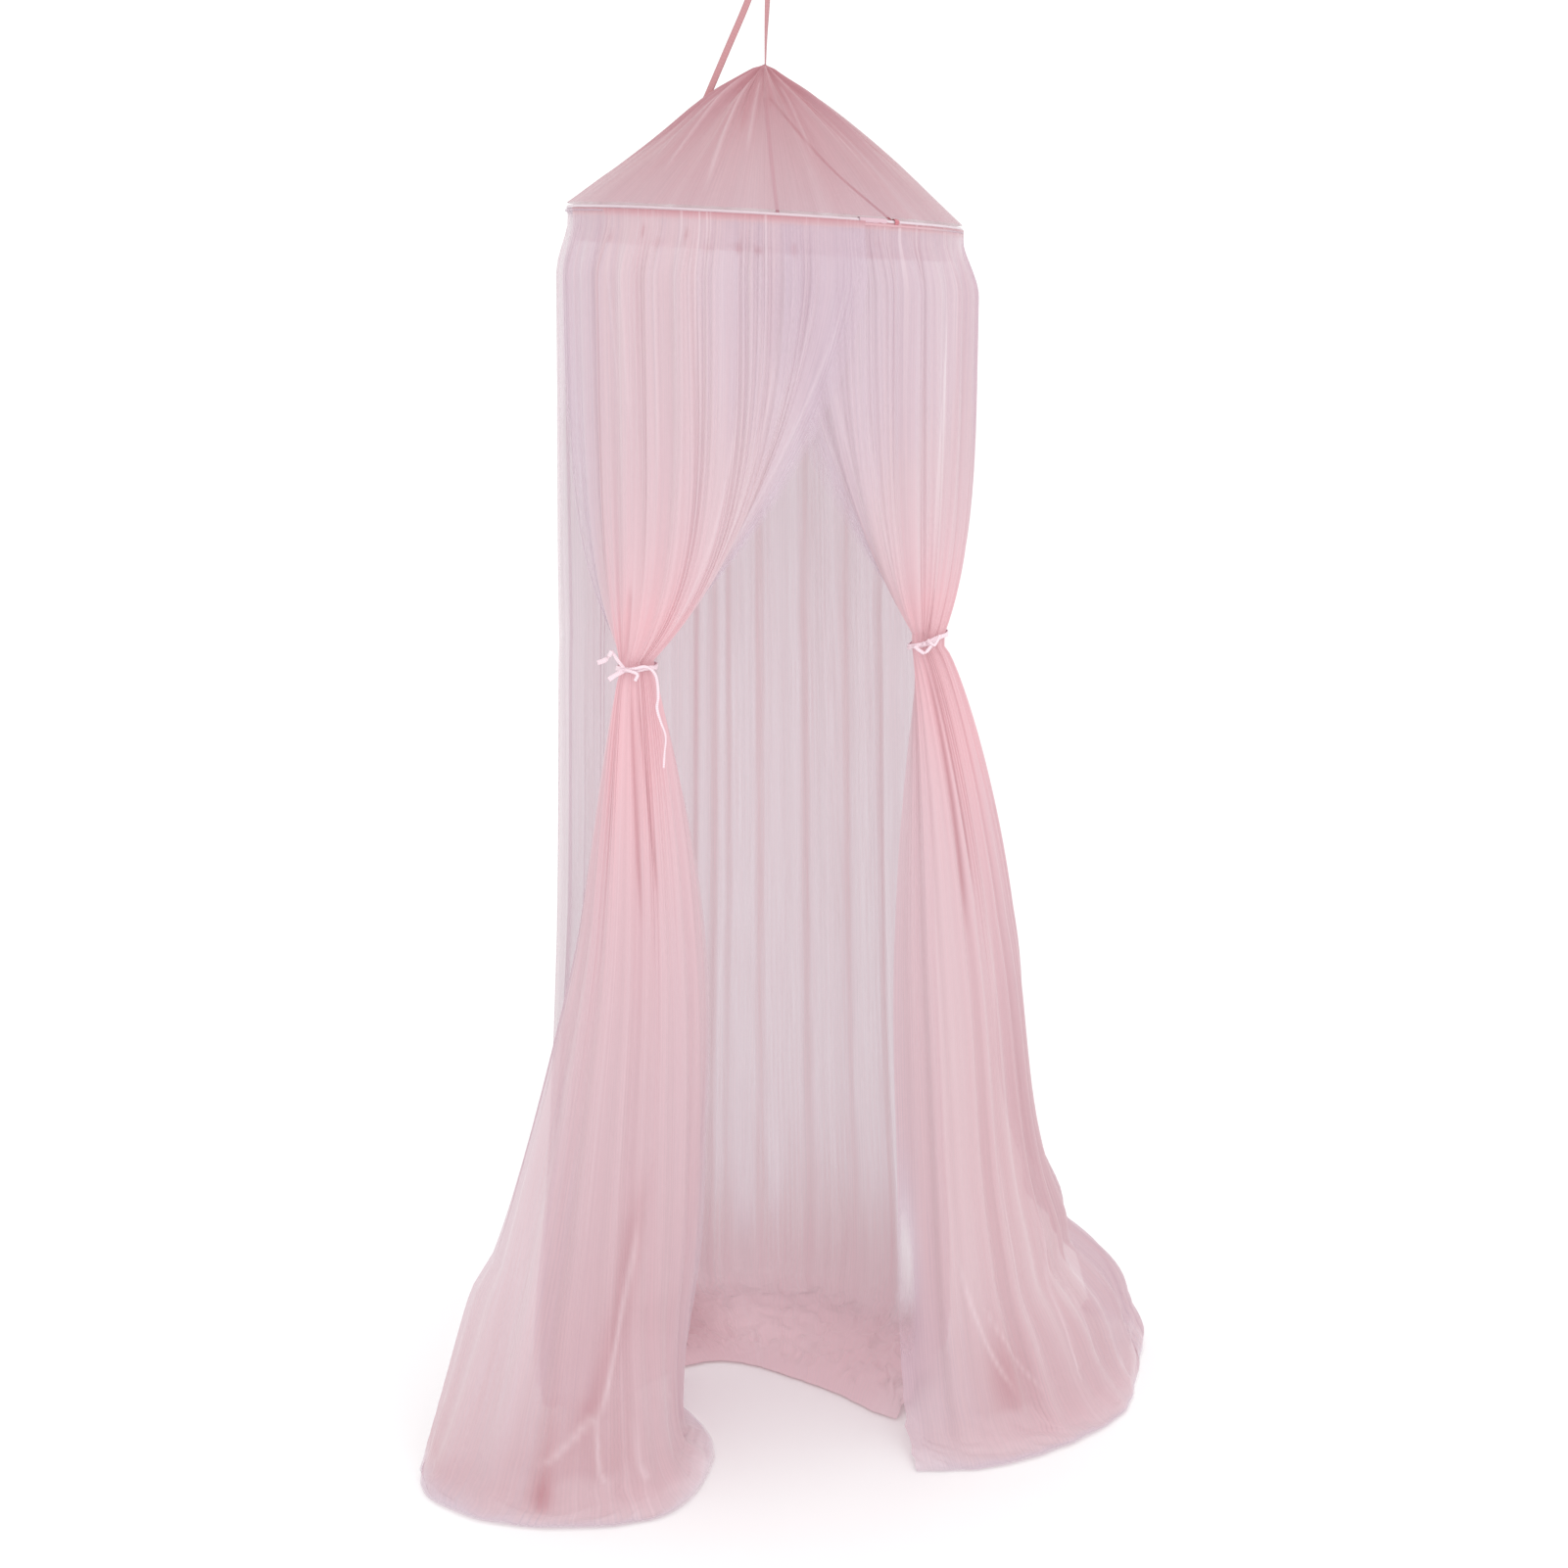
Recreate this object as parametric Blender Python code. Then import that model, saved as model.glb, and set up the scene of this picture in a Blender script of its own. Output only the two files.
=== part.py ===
"""Mosquito net canopy with hoop, hung from one point over a bed.

A loop of strap holds a cone of gathered tulle over a round hoop. Three net panels hang from the hoop to the floor:
one round the back and both sides, and two in front, each drawn into a ribbon tie, so that a doorway stands open
between them. Two tapes inside the cone carry the hoop.

Metres, +Z up. The origin is the top of the strap's loop, where the canopy hangs, and -Y is the doorway. The code
works in heights above the floor, and place() takes the hanging height off.
"""

import math
from collections import namedtuple

import bmesh
import bpy
from mathutils import Vector

# Heights above the floor
HANG_HEIGHT = 2.38
APEX_HEIGHT = 2.226
HOOP_HEIGHT = 2.0
PANEL_TOP = 1.981
OPEN_TIE_HEIGHT = 1.345  # where the back panel passes the ties
TAIL_HEIGHT = 0.90
KNEE_HEIGHT = 0.45
FLARE_HEIGHT = 0.18
FOOT_HEIGHT = 0.012
HEM_HEIGHT = 0.004

# Hoop, its joining sleeve and the bands sewn below it
HOOP_RADIUS = 0.30
HOOP_ROD = 0.003
HOOP_ROLL = math.radians(3.2)  # the right side hangs lower
HOOP_JOIN_ANGLE = 31.0
HOOP_JOIN_GAP = 0.001
SLEEVE_LENGTH = 0.045
SLEEVE_WALL = 0.0012
CASING_TOP = -0.0056  # heights of the bands are from the hoop's own plane
CASING_BOTTOM = -0.0145
HEADING_RADIUS = 0.2905
HEADING_TOP = -0.0105
HEADING_BOTTOM = -0.048
HEADING_WAVES = 15
HEADING_DEPTH = 0.0014

# Net
NET_THICKNESS = 0.0015
TAPE_THICKNESS = 0.0012
CLEARANCE = 0.0005
PANEL_RADIUS = 0.300
PANEL_SWELL = 0.021  # how far the panels stand out below the hoop
SWELL_DROP = 0.16
LAP_RADIUS = 0.023  # the left front panel laps over the right one by this
LAP_BOW = 0.045  # and its free edge bows out by this on the way to the tie
FOLD_RATIO = 0.125  # fold depth to fold pitch
FOLD_LIMIT = 0.014
HEM_FOLD_LIMIT = 0.005
FAN = 0.75  # under 1, a bunch opens out fastest right below its tie
TAUT_HANG = 1.85  # the free edges swing early to their tie, and the cloth over a tie hangs straight for longer
SLACK_HANG = 3.6
CONE_PLEATS = 14
CONE_RIM_RADIUS = 0.302
CONE_RIM_HEIGHT = 0.0065
CONE_NECK = 0.009
CONE_BULGE = 0.17

# The two bunches that the ties draw together: half width and half depth of each oval
BUNCH_WIDE = 0.0240
BUNCH_DEEP = 0.0175
BUNCH_OPENING = 42.0  # degrees of the oval left open at its back
BUNCH_NECK = 0.010  # a bunch stays this narrow so far above and below its middle
LEFT_BUNCH = Vector((-0.193, -0.200, 1.340))
RIGHT_BUNCH = Vector((0.252, -0.105, 1.366))

# Ribbons
STRAP_WIDTH = 0.010
STRAP_THICKNESS = 0.0015
TAPE_WIDTH = 0.006
TIE_WIDTH = 0.009
TIE_GAP = 0.0056  # from a bunch's middle line to the ribbon's inner face
KNOT_SIZE = Vector((0.0075, 0.0050, 0.0065))

# One row for each guide line that runs down a panel: its place on the hoop, in degrees from the front towards the
# right, then where it stands in plan at each named height, and where it ends on the floor.
Guide = namedtuple("Guide", "hoop tie tail knee flare foot hem")
BACK_PANEL = (
    Guide(-68, (-0.318, -0.085), (-0.335, -0.090), (-0.360, -0.090), (-0.380, -0.090), (-0.390, -0.085),
          (-0.270, -0.030)),
    Guide(-90, (-0.326, 0.010), (-0.338, 0.010), (-0.368, 0.020), (-0.400, 0.030), (-0.420, 0.040),
          (-0.235, 0.060)),
    Guide(-115, (-0.295, 0.140), (-0.308, 0.160), (-0.345, 0.200), (-0.380, 0.225), (-0.400, 0.240),
          (-0.180, 0.125)),
    Guide(-140, (-0.210, 0.250), (-0.225, 0.290), (-0.250, 0.340), (-0.270, 0.370), (-0.285, 0.390),
          (-0.105, 0.165)),
    Guide(-165, (-0.085, 0.315), (-0.090, 0.355), (-0.100, 0.400), (-0.105, 0.420), (-0.110, 0.435),
          (-0.035, 0.155)),
    Guide(-190, (0.055, 0.320), (0.060, 0.360), (0.065, 0.410), (0.070, 0.430), (0.070, 0.440), (0.045, 0.105)),
    Guide(-215, (0.180, 0.265), (0.190, 0.310), (0.205, 0.360), (0.220, 0.385), (0.225, 0.400), (0.125, 0.050)),
    Guide(-233, (0.245, 0.190), (0.260, 0.225), (0.280, 0.270), (0.300, 0.295), (0.310, 0.305), (0.180, 0.010)),
    Guide(-247, (0.270, 0.115), (0.285, 0.140), (0.310, 0.170), (0.330, 0.190), (0.335, 0.195), (0.215, -0.010)),
)
LEFT_PANEL = (
    Guide(27, None, (-0.098, -0.100), (-0.104, 0.020), (-0.122, 0.090), (-0.150, 0.120), (-0.168, 0.100)),
    Guide(19, None, (-0.100, -0.160), (-0.112, -0.080), (-0.140, -0.010), (-0.170, 0.030), (-0.168, 0.040)),
    Guide(11, None, (-0.105, -0.205), (-0.112, -0.165), (-0.124, -0.125), (-0.150, -0.085), (-0.104, -0.074)),
    Guide(-3, None, (-0.132, -0.245), (-0.135, -0.235), (-0.140, -0.215), (-0.135, -0.195), (-0.088, -0.190)),
    Guide(-16, None, (-0.170, -0.265), (-0.185, -0.280), (-0.190, -0.280), (-0.180, -0.275), (-0.140, -0.330)),
    Guide(-30, None, (-0.215, -0.270), (-0.250, -0.295), (-0.270, -0.310), (-0.275, -0.325), (-0.265, -0.382)),
    Guide(-43, None, (-0.258, -0.250), (-0.325, -0.275), (-0.375, -0.300), (-0.405, -0.320), (-0.430, -0.367)),
    Guide(-55, None, (-0.288, -0.210), (-0.390, -0.225), (-0.488, -0.245), (-0.532, -0.260), (-0.540, -0.295)),
    Guide(-66, None, (-0.292, -0.155), (-0.408, -0.165), (-0.540, -0.165), (-0.566, -0.170), (-0.570, -0.205)),
)
RIGHT_PANEL = (
    Guide(-249.5, None, (0.374, 0.100), (0.426, 0.270), (0.550, 0.375), (0.630, 0.420), (0.588, 0.360)),
    Guide(-262, None, (0.398, 0.030), (0.446, 0.200), (0.606, 0.320), (0.694, 0.345), (0.688, 0.285)),
    Guide(-280, None, (0.393, -0.050), (0.462, 0.050), (0.580, 0.120), (0.655, 0.130), (0.668, 0.100)),
    Guide(-300, None, (0.362, -0.120), (0.425, -0.060), (0.505, -0.010), (0.575, 0.000), (0.620, -0.030)),
    Guide(-320, None, (0.322, -0.160), (0.368, -0.130), (0.420, -0.100), (0.465, -0.085), (0.500, -0.135)),
    Guide(-342, None, (0.268, -0.175), (0.300, -0.165), (0.325, -0.150), (0.345, -0.140), (0.372, -0.200)),
    Guide(-364, None, (0.205, -0.130), (0.215, -0.115), (0.222, -0.105), (0.230, -0.100), (0.247, -0.212)),
)

# Where each panel's rows of points lie, as shares of the drop from hoop to tie, the fall from tie to floor, and the
# pool on the floor
TIED_DROPS = (0.0, 0.04, 0.12, 0.27, 0.46, 0.66, 0.84, 0.95, 1.0)
TIED_FALLS = (0.0, 0.03, 0.09, 0.20, 0.38, 0.58, 0.76, 0.88, 0.95)
TIED_POOL = (0.0, 0.5, 1.0)
BACK_DROPS = (0.0, 0.07, 0.24, 0.60)
BACK_FALLS = (0.0, 0.25, 0.50, 0.72, 0.88, 0.96)
BACK_POOL = (0.0, 0.14, 0.34, 0.62, 0.84, 1.0)
POOL_RISE = {0.0: FOOT_HEIGHT, 0.14: 0.022, 0.34: 0.046, 0.5: 0.020, 0.62: 0.018, 0.84: 0.030, 1.0: HEM_HEIGHT}

COLOURS = {
    "net": (0.86, 0.66, 0.70, 1.0),
    "net_trim": (0.80, 0.45, 0.50, 1.0),
    "hoop_plastic": (0.90, 0.83, 0.86, 1.0),
    "strap": (0.68, 0.36, 0.38, 1.0),
    "satin_ribbon": (0.97, 0.82, 0.86, 1.0),
}
ROUGHNESS = {"net": 0.85, "net_trim": 0.8, "hoop_plastic": 0.4, "strap": 0.75, "satin_ribbon": 0.35}


def clear_scene():
    for obj in list(bpy.data.objects):
        bpy.data.objects.remove(obj, do_unlink=True)


def material(name):
    """The material of that name, made on its first use."""
    found = bpy.data.materials.get(name)
    if found:
        return found
    made = bpy.data.materials.new(name)
    made.use_nodes = True
    shader = made.node_tree.nodes["Principled BSDF"]
    shader.inputs["Base Color"].default_value = COLOURS[name]
    shader.inputs["Roughness"].default_value = ROUGHNESS[name]
    shader.inputs["Metallic"].default_value = 0.0
    return made


def place(x, y, height):
    return Vector((x, y, height - HANG_HEIGHT))


def on_hoop(angle, radius=HOOP_RADIUS, rise=0.0):
    """A point by the hoop: degrees from the front towards the right, radius, and height over the hoop's plane."""
    turn = math.radians(angle)
    x = radius * math.sin(turn)
    along = x * math.cos(HOOP_ROLL) + rise * math.sin(HOOP_ROLL)
    height = HOOP_HEIGHT - x * math.sin(HOOP_ROLL) + rise * math.cos(HOOP_ROLL)
    return place(along, -radius * math.cos(turn), height)


def hermite(knots, values, at):
    """A smooth curve through values at rising knots; values are numbers or vectors."""
    last = len(knots) - 1
    at = min(max(at, knots[0]), knots[-1])
    i = min(max(sum(knot <= at for knot in knots) - 1, 0), last - 1)

    def slope(j):
        low, high = max(j - 1, 0), min(j + 1, last)
        return (values[high] - values[low]) / (knots[high] - knots[low])

    width = knots[i + 1] - knots[i]
    t = (at - knots[i]) / width
    start = values[i] * (2 * t**3 - 3 * t**2 + 1) + slope(i) * (width * (t**3 - 2 * t**2 + t))
    end = values[i + 1] * (3 * t**2 - 2 * t**3) + slope(i + 1) * (width * (t**3 - t**2))
    return start + end


def smoothstep(low, high, value):
    t = min(max((value - low) / (high - low), 0.0), 1.0)
    return t * t * (3 - 2 * t)


def add_object(name, shape, finish, smooth=True):
    mesh = bpy.data.meshes.new(name)
    shape.to_mesh(mesh)
    shape.free()
    mesh.materials.append(material(finish))
    if smooth:
        mesh.shade_smooth()
        mesh.set_sharp_from_angle(angle=math.radians(40))
    obj = bpy.data.objects.new(name, mesh)
    bpy.context.scene.collection.objects.link(obj)
    return obj


def grid_shape(rows, ring=False):
    """A sheet of four-sided faces through rows of points; a ring closes each row on itself."""
    shape = bmesh.new()
    verts = [[shape.verts.new(point) for point in row] for row in rows]
    for upper, lower in zip(verts, verts[1:]):
        count = len(upper) if ring else len(upper) - 1
        for i in range(count):
            j = (i + 1) % len(upper)
            shape.faces.new((upper[i], lower[i], lower[j], upper[j]))
    return shape, verts


def add_sheet(name, rows, finish, ring=False, thickness=NET_THICKNESS):
    shape, _ = grid_shape(rows, ring)
    return thicken(add_object(name, shape, finish), thickness)


def thicken(obj, thickness):
    solidify = obj.modifiers.new("cloth thickness", "SOLIDIFY")
    solidify.thickness = thickness
    solidify.offset = 0.0
    return obj


# ---------------------------------------------------------------- net panels


def bunch_point(centre, share):
    """A point of the oval that a tied panel makes at its ribbon; share runs from one free edge to the other."""
    open_half = BUNCH_OPENING / 2
    turn = math.radians(180 - open_half - share * (360 - BUNCH_OPENING))
    return Vector((centre.x + BUNCH_WIDE * math.sin(turn), centre.y - BUNCH_DEEP * math.cos(turn)))


class Panel:
    """One hanging net panel. A share of its width, from 0 to 1, and a row give a point of its middle surface."""

    def __init__(self, guides, folds, seed, bunch=None, lap=0.0):
        self.guides = guides
        self.folds = folds
        self.seed = seed
        self.bunch = bunch
        self.lap = lap
        span = guides[-1].hoop - guides[0].hoop
        self.shares = [(guide.hoop - guides[0].hoop) / span for guide in guides]

    def hoop_angle(self, share):
        return self.guides[0].hoop + share * (self.guides[-1].hoop - self.guides[0].hoop)

    def level(self, name, share):
        if name == "tie" and self.bunch:
            return bunch_point(self.bunch, share)
        values = [Vector(getattr(guide, name)) for guide in self.guides]
        return hermite(self.shares, values, share)

    def tie_height(self, side):
        """The height at which the drop ends, for side 1, or the fall begins, for side -1."""
        return self.bunch.z + side * BUNCH_NECK if self.bunch else OPEN_TIE_HEIGHT

    def lap_out(self, share):
        """How far this panel stands outside the one that it laps over."""
        return self.lap * (1 - smoothstep(0.35, 0.9, share))

    def above_tie(self, share, drop):
        """Plan point and height at a share of the drop from the hoop to the tie."""
        angle = math.radians(self.hoop_angle(share))
        top = on_hoop(self.hoop_angle(share), PANEL_RADIUS, PANEL_TOP - HOOP_HEIGHT).z + HANG_HEIGHT
        height = top + (self.tie_height(1) - top) * drop
        swell = PANEL_SWELL * smoothstep(0, SWELL_DROP, top - height)
        radius = PANEL_RADIUS + swell + self.lap_out(share) * (0.6 + 0.4 * smoothstep(0, SWELL_DROP, top - height))
        start = Vector((radius * math.sin(angle), -radius * math.cos(angle)))
        end = self.level("tie", share)
        pull = self.pull(share, drop)
        plan = end + (start - end) * pull
        if self.lap:
            plan.y -= LAP_BOW * 4 * pull * (1 - pull) * (1 - smoothstep(0.0, 0.5, share))
        return plan, height

    def pull(self, share, drop):
        """1 at the hoop and 0 at the tie: a taut edge nears its tie early, and cloth right above the tie hangs."""
        if not self.bunch:
            return 1 - smoothstep(0.0, 1.0, drop)
        angle = math.radians(self.hoop_angle(share))
        away = (Vector((HOOP_RADIUS * math.sin(angle), -HOOP_RADIUS * math.cos(angle))) - self.bunch.xy).length
        late = TAUT_HANG + SLACK_HANG * (1 - smoothstep(0.11, 0.30, away))
        return 1 - drop**late

    def below_tie(self, share, fall):
        """Plan point and height at a share of the fall from the tie to the floor."""
        start = self.tie_height(-1)
        height = start + (FOOT_HEIGHT - start) * fall
        names = ("foot", "flare", "knee", "tail", "tie")
        knots = (FOOT_HEIGHT, FLARE_HEIGHT, KNEE_HEIGHT, TAIL_HEIGHT, start)
        fan = start - TAIL_HEIGHT
        level = max(start - fan * max((start - height) / fan, 0.0) ** FAN, 0.0) if height > TAIL_HEIGHT else height
        return hermite(knots, [self.level(name, share) for name in names], level), height

    def on_floor(self, share, pool):
        foot, hem = self.level("foot", share), self.level("hem", share)
        lump = 0.75 + 0.45 * math.sin(11.0 * share + 5.0 * pool + self.seed)
        rise = POOL_RISE[pool] * (lump if 0 < pool < 1 else 1)
        return foot + (hem - foot) * pool, max(rise, HEM_HEIGHT)

    def middle(self, share, row):
        kind, value = row
        if kind == "drop":
            return self.above_tie(share, value)
        if kind == "fall":
            return self.below_tie(share, value)
        return self.on_floor(share, value)

    def fold(self, share, kind, value, pitch):
        """How far a fold stands out of the middle surface, deeper or flatter from fold to fold."""
        turn = 2 * math.pi * self.folds * share
        uneven = 1 + 0.35 * math.sin(2.3 * self.folds * share + self.seed) + 0.15 * math.sin(17 * share - self.seed)
        depth = min(FOLD_RATIO * pitch, FOLD_LIMIT) * uneven
        edge = smoothstep(0, 0.06, share) * smoothstep(0, 0.06, 1 - share)
        depth *= 0.4 + 0.6 * edge
        if kind == "drop":
            depth *= 0.4 + 0.6 * smoothstep(0.0, 0.12, value)
        if kind == "pool":
            depth += (HEM_FOLD_LIMIT * uneven - depth) * (0.4 + 0.6 * value)
        return depth * math.sin(turn)

    def rows(self, rows):
        columns = 4 * self.folds
        grid = []
        for kind, value in rows:
            middles = [self.middle(i / columns, (kind, value)) for i in range(columns + 1)]
            line = []
            for i, (plan, height) in enumerate(middles):
                before, after = middles[max(i - 1, 0)][0], middles[min(i + 1, columns)][0]
                along = after - before
                steps = min(i + 1, columns) - max(i - 1, 0)
                pitch = 4 * along.length / steps
                out = Vector((-along.y, along.x)).normalized()
                plan = plan + out * self.fold(i / columns, kind, value, pitch)
                line.append(place(plan.x, plan.y, height))
            grid.append(line)
        return grid


def row_list(drops, falls, pool):
    kinds = (("drop", drops), ("fall", falls), ("pool", pool))
    return [(kind, value) for kind, values in kinds for value in values]


def build_panels():
    tied = row_list(TIED_DROPS, TIED_FALLS, TIED_POOL)
    back = row_list(BACK_DROPS, BACK_FALLS, BACK_POOL)
    add_sheet("net_back_panel", Panel(BACK_PANEL, 16, 0.4).rows(back), "net")
    left = Panel(LEFT_PANEL, 11, 1.7, bunch=LEFT_BUNCH, lap=LAP_RADIUS)
    add_sheet("net_left_panel", left.rows(tied), "net")
    right = Panel(RIGHT_PANEL, 12, 2.9, bunch=RIGHT_BUNCH)
    add_sheet("net_right_panel", right.rows(tied), "net")


def build_cone():
    """The gathered top, from the neck at its point to its rim over the hoop."""
    columns = 4 * CONE_PLEATS
    rows = []
    for reach in (0.0, 0.10, 0.28, 0.52, 0.78, 1.0):
        line = []
        for i in range(columns):
            angle = 360 * i / columns
            rim = on_hoop(angle, CONE_RIM_RADIUS, CONE_RIM_HEIGHT)
            neck = place(CONE_NECK * math.sin(math.radians(angle)), -CONE_NECK * math.cos(math.radians(angle)),
                         APEX_HEIGHT - 0.012)
            point = neck.lerp(rim, reach)
            left = 0.5 - 0.5 * math.sin(math.radians(angle))
            point.z += CONE_BULGE * (0.35 + 0.65 * left) * (neck.z - rim.z) * reach * (1 - reach) * 2
            uneven = 1 + 0.4 * math.sin(3.1 * i / 4 + 0.6)
            depth = 0.0045 * math.sin(math.pi * min(reach + 0.18, 1.0)) * uneven
            point.z += depth * math.sin(math.pi / 2 * i)
            line.append(point)
        rows.append(line)
    shape, verts = grid_shape(rows, ring=True)
    top = shape.verts.new(place(0, 0, APEX_HEIGHT - 0.006))
    for i in range(columns):
        shape.faces.new((top, verts[0][i], verts[0][(i + 1) % columns]))
    thicken(add_object("net_cone", shape, "net"), NET_THICKNESS)


# ---------------------------------------------------------------- hoop and its bands


def tube_rows(centres, radius, sides):
    """Rings of points round a bent rod through these centres."""
    rows = []
    for i, centre in enumerate(centres):
        along = (centres[min(i + 1, len(centres) - 1)] - centres[max(i - 1, 0)]).normalized()
        side = along.cross(Vector((0, 0, 1))).normalized()
        up = side.cross(along)
        turns = [2 * math.pi * j / sides for j in range(sides)]
        rows.append([centre + (side * math.cos(turn) + up * math.sin(turn)) * radius for turn in turns])
    return rows


def build_hoop():
    """A bent rod whose two ends meet inside the sleeve."""
    half_gap = math.degrees(HOOP_JOIN_GAP / 2 / HOOP_RADIUS)
    start, end = HOOP_JOIN_ANGLE + half_gap, HOOP_JOIN_ANGLE + 360 - half_gap
    count = 60
    centres = [on_hoop(start + (end - start) * i / count) for i in range(count + 1)]
    shape, verts = grid_shape(tube_rows(centres, HOOP_ROD, 6), ring=True)
    shape.faces.new(verts[0])
    shape.faces.new(verts[-1])
    bmesh.ops.recalc_face_normals(shape, faces=shape.faces)
    add_object("hoop", shape, "hoop_plastic")


def build_sleeve():
    """A short tube over the hoop's joint."""
    half = math.degrees(SLEEVE_LENGTH / 2 / HOOP_RADIUS)
    centres = [on_hoop(HOOP_JOIN_ANGLE - half + 2 * half * i / 4) for i in range(5)]
    inner = HOOP_ROD + CLEARANCE
    shape, _ = grid_shape(tube_rows(centres, inner + SLEEVE_WALL / 2, 8), ring=True)
    bmesh.ops.recalc_face_normals(shape, faces=shape.faces)
    thicken(add_object("hoop_sleeve", shape, "hoop_plastic"), SLEEVE_WALL)


def build_casing():
    """The sewn band right under the hoop, to which cone and panels are stitched."""
    columns = 60
    heights = (CASING_TOP, CASING_BOTTOM)
    rows = [[on_hoop(360 * i / columns, HOOP_RADIUS, rise) for i in range(columns)] for rise in heights]
    add_sheet("hoop_casing", rows, "net_trim", ring=True)


def build_heading():
    """The gathered strip inside the top of the panels."""
    columns = 4 * HEADING_WAVES
    rows = []
    for rise in (HEADING_TOP, HEADING_BOTTOM):
        deep = HEADING_DEPTH * (1.0 if rise == HEADING_BOTTOM else 0.5)
        radii = [HEADING_RADIUS + deep * math.sin(math.pi / 2 * i) for i in range(columns)]
        rows.append([on_hoop(360 * i / columns, radii[i], rise) for i in range(columns)])
    add_sheet("heading_band", rows, "net", ring=True)


# ---------------------------------------------------------------- ribbons


def ribbon_shape(centres, across, width, thickness, ring=False):
    """A flat ribbon through these centres; across gives its width's direction at each of them."""
    rows = []
    last = len(centres) - 1
    for i, (centre, side) in enumerate(zip(centres, across)):
        before = centres[i - 1] if ring or i else centres[0]
        after = centres[(i + 1) % len(centres)] if ring else centres[min(i + 1, last)]
        along = (after - before).normalized()
        side = (side - along * side.dot(along)).normalized()
        out = along.cross(side)
        corners = ((-1, -1), (1, -1), (1, 1), (-1, 1))
        rows.append([centre + side * (a * width / 2) + out * (b * thickness / 2) for a, b in corners])
    if ring:
        rows.append(rows[0])
    shape, verts = grid_shape(rows, ring=True)
    if ring:
        bmesh.ops.remove_doubles(shape, verts=shape.verts, dist=1e-7)
    else:
        shape.faces.new(verts[0])
        shape.faces.new(verts[-1])
    bmesh.ops.recalc_face_normals(shape, faces=shape.faces)
    return shape


def curve_through(points, count):
    knots = [0.0]
    for before, after in zip(points, points[1:]):
        knots.append(knots[-1] + (after - before).length)
    return [hermite(knots, points, knots[-1] * i / count) for i in range(count + 1)]


def join(obj, parts):
    """Unites the helper parts with the object, as one solid."""
    for part in parts:
        part.hide_render = True
        part.display_type = "WIRE"
        union = obj.modifiers.new("joined " + part.name, "BOOLEAN")
        union.operation = "UNION"
        union.solver = "EXACT"
        union.object = part
    return obj


def build_strap():
    """The hanging strap: up from the cone's left slope, over the hook's place, and down to the cone's point."""
    points = [
        place(-0.0855, -0.002, 2.184),
        place(-0.055, -0.001, 2.250),
        place(-0.0245, 0.000, 2.318),
        place(-0.009, 0.000, 2.362),
        place(-0.0045, 0.000, 2.3745),
        place(0.000, 0.000, 2.3792),
        place(0.0045, 0.000, 2.3745),
        place(0.006, 0.000, 2.355),
        place(0.004, 0.000, 2.310),
        place(0.002, 0.000, 2.265),
        place(0.001, 0.000, 2.2245),
    ]
    # How far the ribbon's face is turned towards the front at each of those points, in degrees
    facing = (86, 86, 84, 45, 8, 0, 8, 30, 42, 24, 14)
    count = 44
    centres = curve_through(points, count)
    turns = curve_through([Vector((i, turn, 0)) for i, turn in enumerate(facing)], count)
    across = []
    for i, centre in enumerate(centres):
        along = (centres[min(i + 1, count)] - centres[max(i - 1, 0)]).normalized()
        flat = along.cross(Vector((0, 1, 0))).normalized()
        turn = math.radians(turns[i].y)
        across.append(Vector((0, 1, 0)) * math.cos(turn) + flat * math.sin(turn))
    add_object("hanging_strap", ribbon_shape(centres, across, STRAP_WIDTH, STRAP_THICKNESS), "strap")


def build_tape(name, angle, sag):
    """A tape from under the cone's point to the hoop, which it is knotted round."""
    foot = on_hoop(angle)
    out = Vector((math.sin(math.radians(angle)), -math.cos(math.radians(angle)), 0))
    top = place(0.010 * out.x, 0.010 * out.y, APEX_HEIGHT - 0.048)
    inner = HOOP_ROD + CLEARANCE + TAPE_THICKNESS / 2
    end = foot - out * (inner + 0.001) + Vector((0, 0, 0.001))
    middle = top.lerp(end, 0.5) - Vector((0, 0, sag))
    centres = curve_through([top, middle, end], 10)
    across = out.cross(Vector((0, 0, 1)))
    tape = ribbon_shape(centres, [across] * len(centres), TAPE_WIDTH, TAPE_THICKNESS)
    ring = [foot + (out * math.cos(turn) + Vector((0, 0, 1)) * math.sin(turn)) * inner
            for turn in (2 * math.pi * i / 12 for i in range(12))]
    wrap = ribbon_shape(ring, [across] * 12, TAPE_WIDTH + 0.001, TAPE_THICKNESS, ring=True)
    knob = bmesh.new()
    bmesh.ops.create_icosphere(knob, subdivisions=2, radius=0.0048)
    bmesh.ops.translate(knob, verts=knob.verts, vec=foot - out * (inner + 0.0046) - Vector((0, 0, 0.002)))
    tape = add_object(name, tape, "net_trim")
    helpers = [add_object(name + "_wrap", wrap, "net_trim"), add_object(name + "_knob", knob, "net_trim")]
    join(tape, helpers)


def tie_band_point(centre, tilt, turn):
    """A point of the ribbon's middle line round a bunch; turn is 0 at the front and rises towards the right."""
    reach = TIE_GAP + TAPE_THICKNESS / 2
    x = (BUNCH_WIDE + reach) * math.sin(turn)
    y = -(BUNCH_DEEP + reach) * math.cos(turn)
    return place(centre.x + x, centre.y + y, centre.z + tilt * x)


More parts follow.
